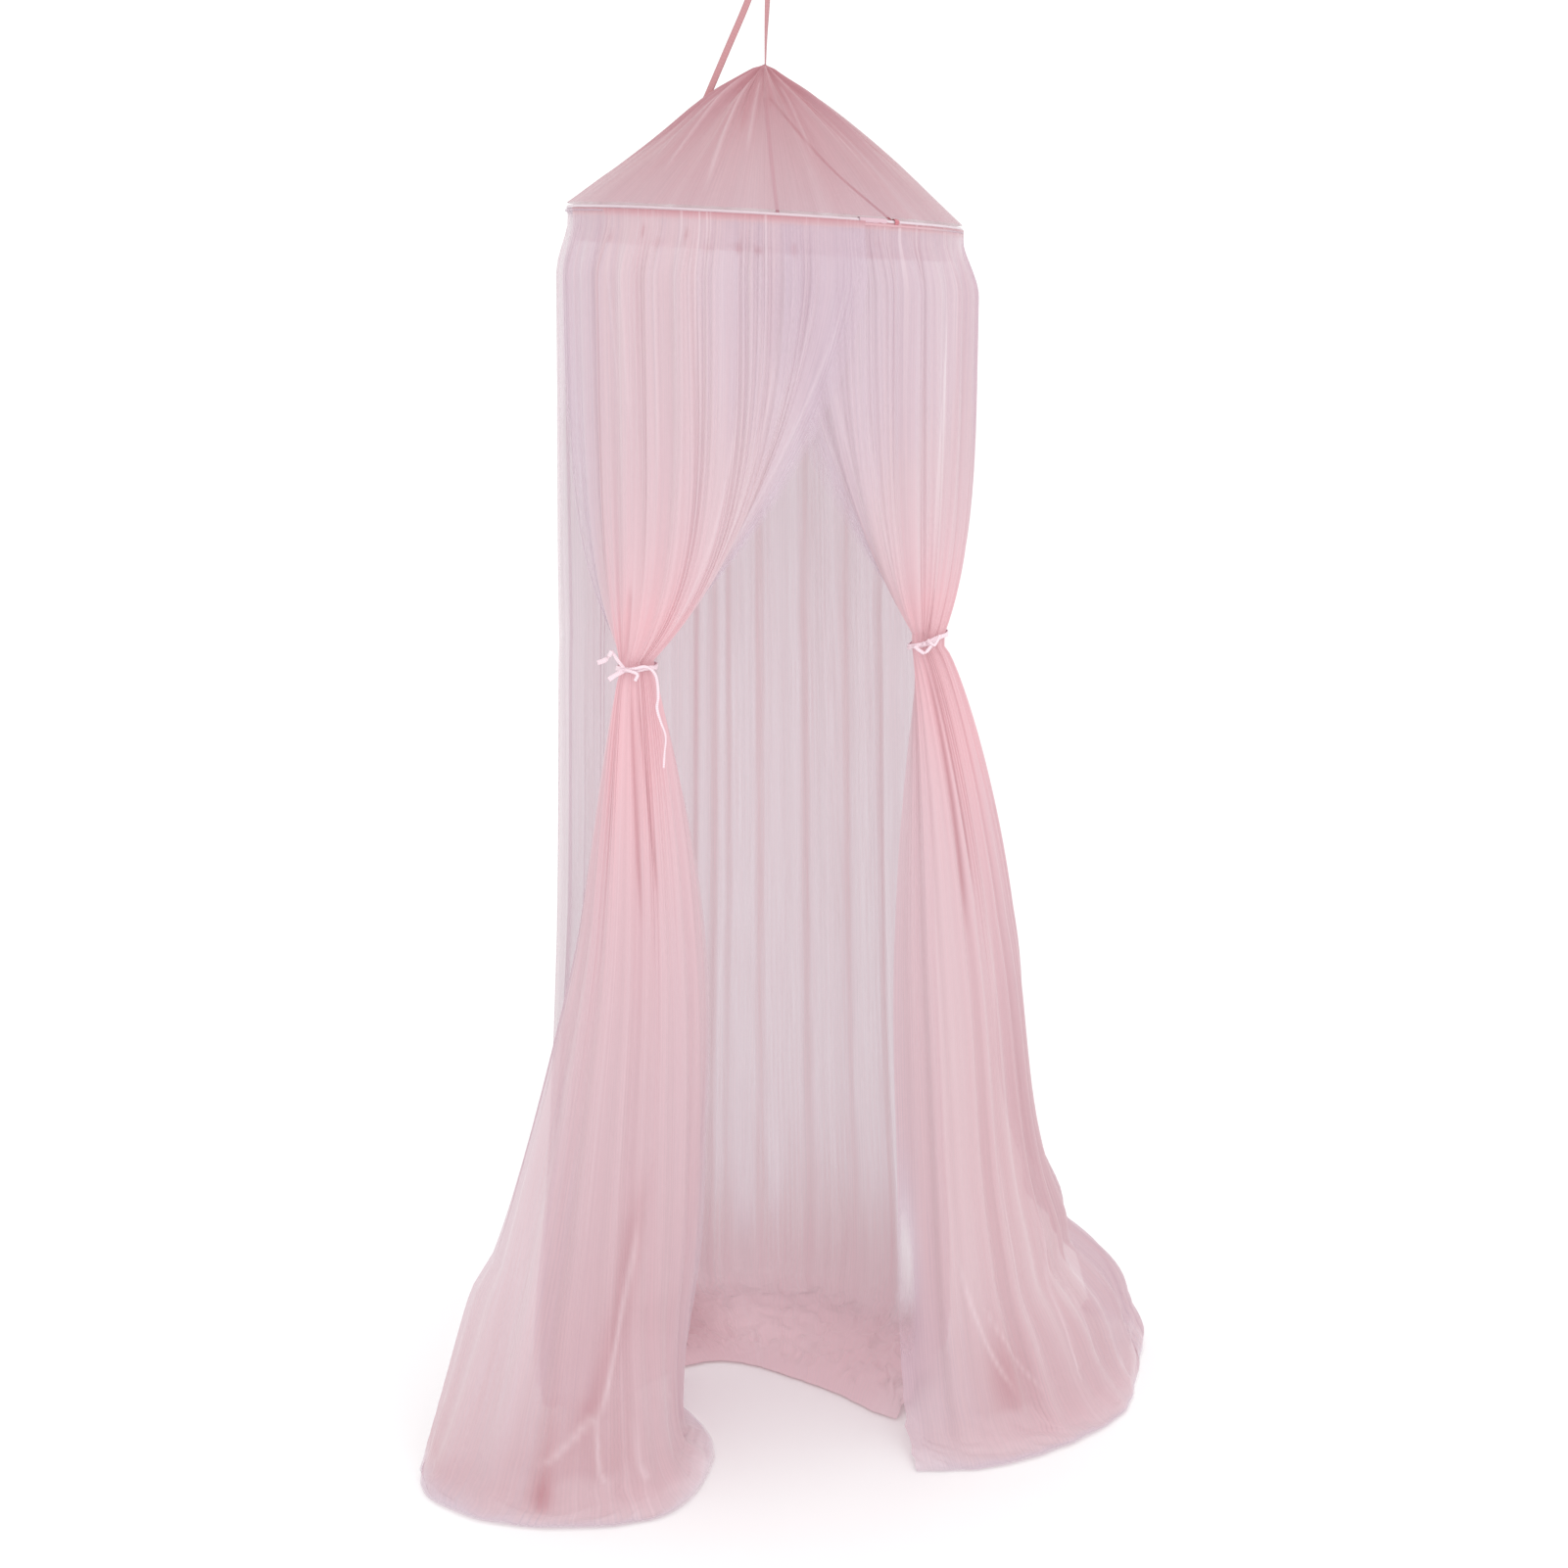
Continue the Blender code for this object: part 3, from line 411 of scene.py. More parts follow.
# On the cone, a share is an angle in degrees and the way down runs from 0 at the neck to 1 at the rim.
CONE_LIGHT = (
    Patch(-5, 0.75, 22, 0.35, 0.10),
)
# Painted shade: most of the cone is darkened, more near its point.
CONE_SHADE = (
    Patch(0, 0.0, 900, 0.16, 0.55),
    Patch(40, 0.06, 35, 0.14, 0.35),
    Patch(0, 0.5, 900, 0.9, 0.88),
    Patch(0, 0.1, 40, 0.25, 0.20),
    Patch(-8, 0.75, 24, 0.30, -0.06),
)
CONE_CREASES = (
    Crease(-60, 0.05, -46, 0.75, 0.0035, 0.002, 0.20, 0.0),
    Crease(-46, 0.05, -36, 0.85, 0.0030, 0.002, 0.22, 0.0),
    Crease(-34, 0.05, -26, 0.60, 0.0025, 0.001, 0.0, 0.25),
    Crease(-24, 0.05, -17, 0.95, 0.0035, 0.002, 0.24, 0.0),
    Crease(-14, 0.03, -12, 0.55, 0.0030, 0.001, 0.0, 0.30),
    Crease(-8, 0.05, -7, 0.70, 0.0030, 0.002, 0.18, 0.0),
    Crease(6, 0.02, 4, 0.40, 0.0030, 0.001, 0.0, 0.45),
    Crease(18, 0.01, 14, 0.34, 0.0035, 0.001, 0.0, 0.70),
    Crease(30, 0.01, 26, 0.30, 0.0035, 0.001, 0.0, 0.70),
    Crease(44, 0.02, 40, 0.42, 0.0040, 0.001, 0.0, 0.50),
    Crease(24, 0.10, 20, 0.70, 0.0025, 0.002, 0.16, 0.0),
    Crease(60, 0.05, 56, 0.80, 0.0050, 0.002, 0.12, 0.0),
    Crease(72, 0.05, 70, 0.80, 0.0050, 0.002, 0.0, 0.15),
)

# Painted shade of the heading's puckered stitches: a place is an angle in degrees and a way down from 0 to 1.
HEADING_PUCKER_SHADE = (
    Patch(-30, 0.45, 1.3, 0.16, 0.8),
    Patch(-26, 0.75, 2.0, 0.10, 0.5),
    Patch(-15, 0.60, 1.2, 0.22, 0.8),
    Patch(-8, 0.90, 2.2, 0.08, 0.5),
    Patch(-2, 0.90, 1.0, 0.14, 0.9),
    Patch(3, 1.00, 1.6, 0.10, 0.9),
    Patch(13, 0.95, 1.5, 0.10, 0.8),
    Patch(20, 0.90, 2.4, 0.08, 0.5),
    Patch(35, 0.55, 1.8, 0.18, 0.6),
    Patch(-45, 0.70, 1.4, 0.20, 0.5),
    Patch(50, 0.80, 1.8, 0.12, 0.5),
)

# A free end of a ribbon: its route from the knot, which way its width lies at the knot and at its tip, and how wide
# it shows. The ribbon is cupped along its length, so it shows narrower than it is.
End = namedtuple("End", "route start finish wide")
LEFT_ENDS = (
    End(((0.000, -0.001, 0.000), (-0.011, -0.008, 0.016), (-0.0193, -0.010, 0.0300)), (0.9, 0, 0.5), (0.8, 0, 0.5),
        0.0045),
    End(((-0.0193, -0.010, 0.0300), (-0.0230, -0.011, 0.0240), (-0.0294, -0.012, 0.0170), (-0.0413, -0.011, 0.0125)),
        (0.8, 0, 0.5), (0.0, 0.2, 1.0), 0.0068),
    End(((0.001, -0.001, 0.000), (-0.0129, -0.010, -0.0055), (-0.0248, -0.012, -0.0130)), (0.2, 0, 1), (-0.4, 0, 1),
        0.0070),
    End(((-0.002, -0.001, 0.001), (0.010, -0.010, -0.001), (0.0184, -0.011, -0.0055), (0.0147, -0.012, -0.0150)),
        (0.1, 0, 1), (1.0, 0, 0.3), 0.0050),
    End(((-0.003, 0.000, -0.001), (0.014, -0.008, 0.003), (0.0294, -0.010, 0.0066), (0.0400, -0.012, 0.0020),
         (0.0470, -0.014, -0.0100), (0.0496, -0.020, -0.0380), (0.0480, -0.026, -0.0530), (0.0530, -0.031, -0.0715),
         (0.0606, -0.036, -0.0940), (0.0590, -0.043, -0.1200), (0.0580, -0.050, -0.1400)), (0.0, -0.3, 1.0),
        (0.5, 0.9, 0.1), 0.0046),
)
RIGHT_ENDS = (
    End(((0.001, -0.001, 0.000), (-0.0080, -0.008, 0.000), (-0.0146, -0.010, -0.0020), (-0.0080, -0.012, -0.0080),
         (0.0000, -0.013, -0.0128)), (0.2, 0, 1), (0.7, 0, 0.7), 0.0055),
    End(((0.0000, -0.013, -0.0128), (0.0050, -0.012, -0.0080), (0.0106, -0.011, -0.0010)), (0.7, 0, 0.7),
        (-0.5, 0, 0.8), 0.0055),
    End(((0.0050, -0.008, 0.0075), (0.0098, -0.012, 0.0030), (0.0149, -0.013, 0.0005), (0.0195, -0.012, 0.0065),
         (0.0238, -0.010, 0.0155)), (0.7, 0, 0.7), (-0.6, 0, 0.8), 0.0048),
)

# Middle line of the strap, from the cone's left slope up to the hook and down to the cone's point
STRAP_STEPS = 90
STRAP_ROUTE = (
    (-0.0895, -0.004, 2.1735),
    (-0.055, -0.001, 2.250),
    (-0.0245, 0.000, 2.318),
    (-0.009, 0.000, 2.362),
    (-0.0045, 0.000, 2.3745),
    (0.000, 0.000, 2.3792),
    (0.0045, 0.000, 2.3745),
    (0.006, 0.000, 2.355),
    (0.004, 0.000, 2.310),
    (0.002, 0.000, 2.265),
    (0.001, 0.000, 2.2245),
)
STRAP_FACING = (86, 84, 80, 60, 20, 0, 20, 50, 40, 18, 5)  # degrees that its face is turned towards the front

# Height of the pooled cloth over the floor, at shares of the way from the foot of the fall to the hem
BACK_POOL = ((0.0, FOOT_HEIGHT), (0.14, 0.022), (0.34, 0.046), (0.62, 0.018), (0.84, 0.030), (1.0, HEM_HEIGHT))
TIED_POOL = ((0.0, FOOT_HEIGHT), (0.45, 0.030), (1.0, HEM_HEIGHT))


# ---------------------------------------------------------------- small helpers


def place(x, y, height):
    """A point of the frame, from its place in plan and its height over the floor."""
    return Vector((x, y, height - HANG_HEIGHT))


def on_hoop(angle, radius=HOOP_RADIUS, rise=0.0):
    """A point by the hoop: degrees from the front towards the right, radius, and height over the hoop's plane."""
    turn = math.radians(angle)
    x = radius * math.sin(turn)
    along = x * math.cos(HOOP_ROLL) + rise * math.sin(HOOP_ROLL)
    height = HOOP_HEIGHT - x * math.sin(HOOP_ROLL) + rise * math.cos(HOOP_ROLL)
    return place(along, -radius * math.cos(turn), height)


def smoothstep(low, high, value):
    t = np.clip((value - low) / (high - low), 0.0, 1.0)
    return t * t * (3 - 2 * t)


def smooth_curve(knots, values, at):
    """A smooth curve through values at rising knots, read at each number of the array at."""
    knots = np.asarray(knots, float)
    values = np.asarray(values, float)
    at = np.clip(np.atleast_1d(at), knots[0], knots[-1])
    i = np.clip(np.searchsorted(knots, at, side="right") - 1, 0, len(knots) - 2)
    low = np.maximum(np.arange(len(knots)) - 1, 0)
    high = np.minimum(np.arange(len(knots)) + 1, len(knots) - 1)
    spread = (-1,) + (1,) * (values.ndim - 1)
    slopes = (values[high] - values[low]) / (knots[high] - knots[low]).reshape(spread)
    width = (knots[i + 1] - knots[i]).reshape(spread)
    t = (at - knots[i]).reshape(spread) / width
    start = values[i] * (2 * t**3 - 3 * t**2 + 1) + slopes[i] * width * (t**3 - 2 * t**2 + t)
    end = values[i + 1] * (3 * t**2 - 2 * t**3) + slopes[i + 1] * width * (t**3 - t**2)
    return start + end


def soft_noise(u, v, seed):
    """Smooth noise from -1 to 1, with about one bump to each unit of u and of v."""
    table = np.random.default_rng(seed).uniform(-1, 1, (NOISE_SIDE, NOISE_SIDE))
    u, v = np.broadcast_arrays(np.asarray(u, float), np.asarray(v, float))
    i, j = np.floor(u).astype(int), np.floor(v).astype(int)
    a, b = u - i, v - j
    a = a * a * (3 - 2 * a)
    b = b * b * (3 - 2 * b)
    near, far = i % NOISE_SIDE, (i + 1) % NOISE_SIDE
    top, bottom = j % NOISE_SIDE, (j + 1) % NOISE_SIDE
    upper = table[near, top] * (1 - a) + table[far, top] * a
    lower = table[near, bottom] * (1 - a) + table[far, bottom] * a
    return upper * (1 - b) + lower * b


def ring_noise(angle, bumps, down, seed):
    """Smooth noise that closes on itself round a ring."""
    share = np.mod(angle, 360) / 360
    joint = smoothstep(0.9, 1.0, share)
    here = soft_noise(share * bumps, down, seed)
    return here * (1 - joint) + soft_noise((share - 1) * bumps, down, seed) * joint


def patched(patches, share, way):
    """The sum of the patches at each share of the width, at one way down."""
    total = np.zeros(np.broadcast(share, way).shape)
    for patch in patches:
        total += patch.amount * np.exp(-((share - patch.share) / patch.wide)**2 - ((way - patch.way) / patch.tall)**2)
    return total


def creased(creases, share, way, speed):
    """How far the creases raise one row, and how much they lighten and shade it."""
    raised, light, shade = np.zeros(len(share)), np.zeros(len(share)), np.zeros(len(share))
    for crease in creases:
        if not crease.way <= way <= crease.to_way:
            continue
        gone = (way - crease.way) / (crease.to_way - crease.way)
        middle = crease.share + (crease.to_share - crease.share) * gone
        taper = float(smoothstep(0, 0.25, gone) * smoothstep(0, 0.25, 1 - gone))
        ridge = taper * np.exp(-(((share - middle) * speed / crease.wide) ** 2))
        raised += crease.out * ridge
        light += crease.light * ridge
        shade += crease.shade * ridge
    return raised, light, shade


def eased(count):
    """Rising shares from 0 to 1, closer together at both ends."""
    share = np.linspace(0, 1, count)
    return 0.5 * share + 0.5 * (0.5 - 0.5 * np.cos(math.pi * share))


def linear(code):
    """An sRGB hex colour as linear RGB."""
    parts = [int(code[i:i + 2], 16) / 255 for i in (1, 3, 5)]
    return [part / 12.92 if part <= 0.04045 else ((part + 0.055) / 1.055) ** 2.4 for part in parts]


def deselect():
    if bpy.context.mode != "OBJECT":
        bpy.ops.object.mode_set(mode="OBJECT")
    bpy.ops.object.select_all(action="DESELECT")


def make_active(obj):
    deselect()
    obj.select_set(True)
    bpy.context.view_layer.objects.active = obj


def fresh(name):
    """Removes an older object of that name, so that a piece can be made again."""
    old = bpy.data.objects.get(name)
    if old:
        bpy.data.objects.remove(old, do_unlink=True)


# ---------------------------------------------------------------- materials


def add_node(tree, kind, links=(), **settings):
    """Adds a node; settings are its own properties or, as in_N, its inputs, and links feed its inputs by number."""
    node = tree.nodes.new(kind)
    for name, value in settings.items():
        if name.startswith("in_"):
            node.inputs[int(name[3:])].default_value = value
        else:
            setattr(node, name, value)
    for number, source in links:
        tree.links.new(source, node.inputs[number])
    return node


def new_material(name):
    """An empty Principled material of that name: its tree and its shader."""
    old = bpy.data.materials.get(name)
    if old:
        bpy.data.materials.remove(old)
    made = bpy.data.materials.new(name)
    made.use_nodes = True
    return made, made.node_tree, made.node_tree.nodes["Principled BSDF"]


def tulle(name, colours):
    """Polyester tulle, warp knitted and heat set: threads so thin that one layer is a greyish veil, while gathered
    layers close up to a clear pink. The cloth's gather attribute counts the layers that lie together."""
    made, tree, shader = new_material(name)
    uv = add_node(tree, "ShaderNodeUVMap", uv_map="cloth")
    stretched = add_node(tree, "ShaderNodeVectorMath", [(0, uv.outputs[0])], operation="MULTIPLY",
                         in_1=(1 / THREAD_BUNCH, 1 / THREAD_RUN, 1.0))
    threads = add_node(tree, "ShaderNodeTexNoise", [(0, stretched.outputs[0])], noise_dimensions="2D", in_2=1.0,
                       in_3=2.0)
    uneven = add_node(tree, "ShaderNodeMapRange", [(0, threads.outputs[0])], in_1=0.25, in_2=0.75,
                      in_3=1 - THREAD_CONTRAST, in_4=1 + THREAD_CONTRAST)
    gather = add_node(tree, "ShaderNodeAttribute", attribute_name="gather")
    layers = add_node(tree, "ShaderNodeMath", [(0, gather.outputs["Fac"]), (1, uneven.outputs[0])],
                      operation="MULTIPLY")
    seen_through = add_node(tree, "ShaderNodeMath", [(1, layers.outputs[0])], operation="POWER",
                            in_0=1 - colours.cover)
    cover = add_node(tree, "ShaderNodeMath", [(1, seen_through.outputs[0])], operation="SUBTRACT", in_0=1.0)
    # The light attribute marks painted highlight; it also makes the net hide a little more of what lies behind.
    light = add_node(tree, "ShaderNodeAttribute", attribute_name="light")
    lit_cover = add_node(tree, "ShaderNodeMath", [(0, light.outputs["Fac"]), (2, cover.outputs[0])],
                         operation="MULTIPLY_ADD", use_clamp=True, in_1=LIGHT_COVER)
    fuller = add_node(tree, "ShaderNodeMapRange", [(0, layers.outputs[0])], in_1=THIN_LAYERS, in_2=SOFT_LAYERS)
    denser = add_node(tree, "ShaderNodeMapRange", [(0, layers.outputs[0])], in_1=SOFT_LAYERS, in_2=DENSE_LAYERS)
    soft = add_node(tree, "ShaderNodeMix", [(0, fuller.outputs[0])], data_type="RGBA", in_6=(*colours.thin, 1),
                    in_7=(*colours.soft, 1))
    tint = add_node(tree, "ShaderNodeMix", [(0, denser.outputs[0]), (6, soft.outputs[2])], data_type="RGBA",
                    in_7=(*colours.dense, 1))
    # Painted shade: where the attribute read here is set, the net is mixed towards a darker, redder colour.
    painted_shade = add_node(tree, "ShaderNodeAttribute", attribute_name="painted_shade")
    painted_shade_mix = add_node(tree, "ShaderNodeMix", [(0, painted_shade.outputs["Fac"]), (6, tint.outputs[2])], data_type="RGBA",
                      in_7=(*colours.painted_shade, 1))
    # Painted highlight: the net is mixed towards a paler colour where its light attribute is set.
    lit = add_node(tree, "ShaderNodeMix", [(0, light.outputs["Fac"]), (6, painted_shade_mix.outputs[2])], data_type="RGBA",
                   in_7=(*colours.edge, 1))
    tree.links.new(lit.outputs[2], shader.inputs["Base Color"])
    # Painted light: the net glows with its own colour, so the shade in its folds is lifted, though it is no lamp.
    tree.links.new(lit.outputs[2], shader.inputs["Emission Color"])
    tree.links.new(lit_cover.outputs[0], shader.inputs["Alpha"])
    shader.inputs["Emission Strength"].default_value = colours.painted_glow
    shader.inputs["Roughness"].default_value = 0.8
    shader.inputs["Sheen Weight"].default_value = 0.3
    shader.inputs["Sheen Roughness"].default_value = 0.5
    return made


def woven(name, colour, rib_hollow_shade, thread, roughness, sheen):
    """Woven polyester ribbon or tape: its weft gives fine ribs across its length, with painted shade in their hollows,
    and its filaments a soft shine.
    The ribs are drawn 2 pi threads apart, since single threads are finer than the picture shows."""
    made, tree, shader = new_material(name)
    uv = add_node(tree, "ShaderNodeUVMap", uv_map="cloth")
    ribs = add_node(tree, "ShaderNodeTexWave", [(0, uv.outputs[0])], bands_direction="Y", in_1=1 / thread / 20,
                    in_2=0.4, in_3=1.0)
    # painted shade: the ribs' hollows take the darker colour
    tint = add_node(tree, "ShaderNodeMix", [(0, ribs.outputs[1])], data_type="RGBA", in_6=(*linear(rib_hollow_shade), 1),
                    in_7=(*linear(colour), 1))
    bump = add_node(tree, "ShaderNodeBump", [(2, ribs.outputs[1])], in_0=0.15, in_1=0.0001)
    tree.links.new(tint.outputs[2], shader.inputs["Base Color"])
    tree.links.new(bump.outputs[0], shader.inputs["Normal"])
    shader.inputs["Roughness"].default_value = roughness
    shader.inputs["Sheen Weight"].default_value = sheen
    return made


def extruded_plastic(name, colour):
    """Polypropylene rod, extruded: smooth, milky and softly glossy."""
    made, tree, shader = new_material(name)
    where = add_node(tree, "ShaderNodeTexCoord")
    grain = add_node(tree, "ShaderNodeTexNoise", [(0, where.outputs["Object"])], in_2=60.0, in_3=3.0)
    tint = add_node(tree, "ShaderNodeMix", [(0, grain.outputs[0])], data_type="RGBA",
                    in_6=(*[part * 0.93 for part in linear(colour)], 1), in_7=(*linear(colour), 1))
    tree.links.new(tint.outputs[2], shader.inputs["Base Color"])
    shader.inputs["Roughness"].default_value = 0.35
    shader.inputs["IOR"].default_value = 1.49
    return made


# ---------------------------------------------------------------- cloth sheets


def sheet_object(name, points, uv, ring=False, attributes=None):
    """A smooth sheet through a grid of points (rows, columns, 3), with its flat coordinates as a UV map."""
    fresh(name)
    rows, columns = points.shape[:2]
    index = np.arange(rows * columns).reshape(rows, columns)
    if ring:
        index = np.concatenate([index, index[:, :1]], axis=1)
        uv = np.concatenate([uv, uv[:, :1] + [[[uv[0, -1, 0] - uv[0, -2, 0] + uv[0, -1, 0], 0]]]], axis=1)
    faces = np.stack([index[:-1, :-1], index[1:, :-1], index[1:, 1:], index[:-1, 1:]], axis=-1).reshape(-1, 4)
    corners = np.stack([uv[:-1, :-1], uv[1:, :-1], uv[1:, 1:], uv[:-1, 1:]], axis=2).reshape(-1, 2)
    mesh = bpy.data.meshes.new(name)
    mesh.vertices.add(rows * columns)
    mesh.vertices.foreach_set("co", points.reshape(-1).astype(np.float32))
    mesh.loops.add(faces.size)
    mesh.loops.foreach_set("vertex_index", faces.reshape(-1).astype(np.int32))
    mesh.polygons.add(len(faces))
    mesh.polygons.foreach_set("loop_start", np.arange(0, faces.size, 4, dtype=np.int32))
    mesh.update(calc_edges=True)
    layer = mesh.uv_layers.new(name="cloth")
    layer.data.foreach_set("uv", corners.reshape(-1).astype(np.float32))
    for label, values in (attributes or {}).items():
        made = mesh.attributes.new(label, "FLOAT", "POINT")
        made.data.foreach_set("value", values.reshape(-1).astype(np.float32))
    mesh.shade_smooth()
    mesh.validate()
    obj = bpy.data.objects.new(name, mesh)
    bpy.context.scene.collection.objects.link(obj)
    return obj


def finish_piece(obj, node, finish):
    """Gives a piece its material and its place in the frame."""
    obj.data.materials.clear()
    obj.data.materials.append(finish)
    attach(obj, "root")
    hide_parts(node)
    return obj


class NetPanel:
    """One hanging net panel: the middle surface of its guides, with the main folds and the fine gathers on it.

    depth is the gathers' depth, against the usual, and layers how many layers of flat net it hangs in. Its folds fade
    out over the calm shares of its width at both edges, which lie inset at the hoop. lap moves its first half out over
    its neighbour, bunch is the middle of its ribbon, pool its height on the floor, and swing moves it to the right.
    """

    def __init__(self, guides, folds, gathers, flat_width, seed, phase, layers, depth, looks, bunch=None, lap=0.0,
                 pool=TIED_POOL, calm=(0.10, 0.10), inset=0.0, swing=()):
        self.guides = guides
        self.folds = folds
        self.gathers = gathers
        self.flat_width = flat_width
        self.seed = seed
        self.phase = phase
        self.layers = layers
        self.depth = depth
        self.density, self.light, self.shade, self.creases = looks
        self.bunch = bunch
        self.lap = lap
        self.pool = pool
        self.inset = inset
        self.swing = swing
        self.columns = gathers * COLUMNS_PER_GATHER
        self.share = np.linspace(0, 1, self.columns + 1)
        span = guides[-1].hoop - guides[0].hoop
        self.knots = [(guide.hoop - guides[0].hoop) / span for guide in guides]
        self.angle = np.radians(guides[0].hoop + self.share * span)
        self.edge = smoothstep(0, calm[0], self.share) * smoothstep(0, calm[1], 1 - self.share)
        names = ("tie", "tail", "knee", "flare", "foot", "hem")
        self.levels = {name: self.level(name) for name in names}

    def level(self, name):
        if name == "tie" and self.bunch:
            turn = math.pi - math.radians(BUNCH_OPENING / 2) - self.share * math.radians(360 - BUNCH_OPENING)
            x = self.bunch.x + BUNCH_WIDE * np.sin(turn)
            y = self.bunch.y - BUNCH_DEEP * np.cos(turn)
            return np.stack([x, y], axis=-1)
        return smooth_curve(self.knots, [getattr(guide, name) for guide in self.guides], self.share)

    def tie_height(self, side):
        return self.bunch.z + side * BUNCH_NECK if self.bunch else OPEN_TIE_HEIGHT

    def top_height(self):
        x = PANEL_RADIUS * np.sin(self.angle)
        return HOOP_HEIGHT - x * math.sin(HOOP_ROLL) + NET_TOP * math.cos(HOOP_ROLL)

    def above_tie(self, drop):
        """Plan points and heights at a share of the drop from the hoop to the tie."""
        top = self.top_height()
        height = top + (self.tie_height(1) - top) * drop
        swell = smoothstep(0, SWELL_DROP, top - height)
        lap = self.lap * (1 - smoothstep(*LAP_FADE, self.share))
        radius = PANEL_RADIUS + PANEL_SWELL * swell + lap * (0.6 + 0.4 * swell)
        radius = radius - self.inset * (1 - self.edge)
        radius = radius + NET_TOP_OUT * (1 - smoothstep(0.0, 0.03, top - height))
        circle = np.stack([np.sin(self.angle), -np.cos(self.angle)], axis=-1)
        end = self.levels["tie"]
        pull = self.pull(drop, circle)
        plan = end + (circle * radius[:, None] - end) * pull[:, None]
        if self.lap:
            plan[:, 1] -= LAP_BOW * 4 * pull * (1 - pull) * (1 - smoothstep(0.0, 0.5, self.share))
        return plan, height

    def pull(self, drop, circle):
        if not self.bunch:
            return np.full(len(self.share), 1 - float(smoothstep(0.0, 1.0, drop)))
        away = np.linalg.norm(circle * HOOP_RADIUS - np.array(self.bunch.xy), axis=1)
        late = TAUT_HANG + SLACK_HANG * (1 - smoothstep(*SLACK_REACH, away))
        return 1 - drop**late

    def below_tie(self, fall):
        """Plan points and heights at a share of the fall from the tie to the floor."""
        start = self.tie_height(-1)
        height = start + (FOOT_HEIGHT - start) * fall
        fan = start - TAIL_HEIGHT
        level = height
        if height > TAIL_HEIGHT:
            level = start - fan * max((start - height) / fan, 0.0) ** FAN
        knots = (FOOT_HEIGHT, FLARE_HEIGHT, KNEE_HEIGHT, TAIL_HEIGHT, start)
        stack = [self.levels[name] for name in ("foot", "flare", "knee", "tail", "tie")]
        return smooth_curve(knots, stack, level)[0], np.full(len(self.share), height)

    def on_floor(self, reach):
        foot, hem = self.levels["foot"], self.levels["hem"]
        rise = float(smooth_curve([knot for knot, _ in self.pool], [rise for _, rise in self.pool], reach)[0])
        lump = 0.75 + 0.45 * np.sin(11.0 * self.share + 5.0 * reach + self.phase)
        inside = float(smoothstep(0, 0.15, reach) * smoothstep(0, 0.15, 1 - reach))
        height = rise * (1 + (lump - 1) * inside)
        return foot + (hem - foot) * reach, np.maximum(height, HEM_HEIGHT)

    def main_fold(self, kind, value, pitch):
        turn = 2 * math.pi * self.folds * self.share
        uneven = 1 + 0.35 * np.sin(2.3 * self.folds * self.share + self.phase)
        uneven += 0.15 * np.sin(17 * self.share - self.phase)
        depth = np.minimum(FOLD_RATIO * pitch, FOLD_LIMIT) * uneven
        depth *= 0.05 + 0.95 * self.edge
        if kind == "drop":
            depth *= 0.05 + 0.95 * smoothstep(0.0, 0.16, value)
        if kind == "pool":
            depth += (HEM_FOLD_LIMIT * uneven - depth) * (0.4 + 0.6 * value)
        return depth * np.sin(turn)

    def surface(self, drops, falls, pools):
        """Grid of points, flat coordinates and attributes of the whole panel."""
        skipped = 0 if self.bunch else 1
        kinds = [("drop", v) for v in eased(drops)] + [("fall", v) for v in eased(falls)[skipped:-1]]
        kinds += [("pool", v) for v in np.linspace(0, 1, pools)]
        makers = {"drop": self.above_tie, "fall": self.below_tie, "pool": self.on_floor}
        starts = {"drop": 0, "fall": 1, "pool": 2}
        points, layers, lights, shades, runs = [], [], [], [], []
        run = np.zeros(len(self.share))
        before = None
        for kind, value in kinds:
            plan, height = makers[kind](value)
            middle = np.column_stack([plan, height])
            if before is not None:
                run = run + np.linalg.norm(middle - before, axis=1)
            before = middle
            way = starts[kind] + value
            line, gather, light, shade = self.dress(kind, value, way, plan, height, run)
            points.append(line)
            layers.append(gather * np.clip(1 + patched(self.density, self.share, way), 0.12, 8))
            # painted highlight and painted shade, from the creases, the streaks and the patches
            lights.append(light + patched(self.light, self.share, way))
            shades.append(np.clip(shade + patched(self.shade, self.share, way), 0, 1))
            runs.append(run)
        points, runs = np.array(points), np.array(runs)
        ways = np.array([starts[kind] + value for kind, value in kinds])
        self.round_foot(points, ways)
        self.crumple(points, runs, ways)
        points[..., 0] += patched(self.swing, self.share, ways[:, None])
        points[..., 2] -= HANG_HEIGHT
        flat = np.stack([np.broadcast_to(self.share * self.flat_width, runs.shape), runs], axis=-1)
        looks = {"gather": np.array(layers), "light": np.clip(lights, 0, 1), "painted_shade": np.array(shades)}
        return points, flat, looks

    def round_foot(self, points, ways):
        """Softens the bend where the fall meets the floor, so that the cloth heaps up there instead of creasing."""
        near = np.interp(ways, *ROUND_FADE)[:, None, None]
        for _ in range(TIED_ROUNDING if self.bunch else ROUNDING):
            points[1:-1] += near[1:-1] * ((points[2:] + points[:-2]) / 2 - points[1:-1])

    def dress(self, kind, value, way, plan, height, run):
        """Puts the main folds and the fine gathers on one row, and counts its layers."""
        step = np.gradient(plan, self.share, axis=0)
        speed = np.linalg.norm(step, axis=1)
        along = step / speed[:, None]
        out = np.stack([-along[:, 1], along[:, 0]], axis=-1)
        sideways, outwards = self.gathered(way, run, speed / self.gathers)
        raised, light, shade = creased(self.creases, self.share, way, speed)
        away = self.main_fold(kind, value, speed / self.folds) + outwards + raised
        line = np.column_stack([plan + out * away[:, None] + along * sideways[:, None], height])
        streaks, painted_highlight = self.streaked(way, run, speed)
        return line, self.layered(line, plan, speed) * self.layers * (1 + streaks), light + painted_highlight, shade

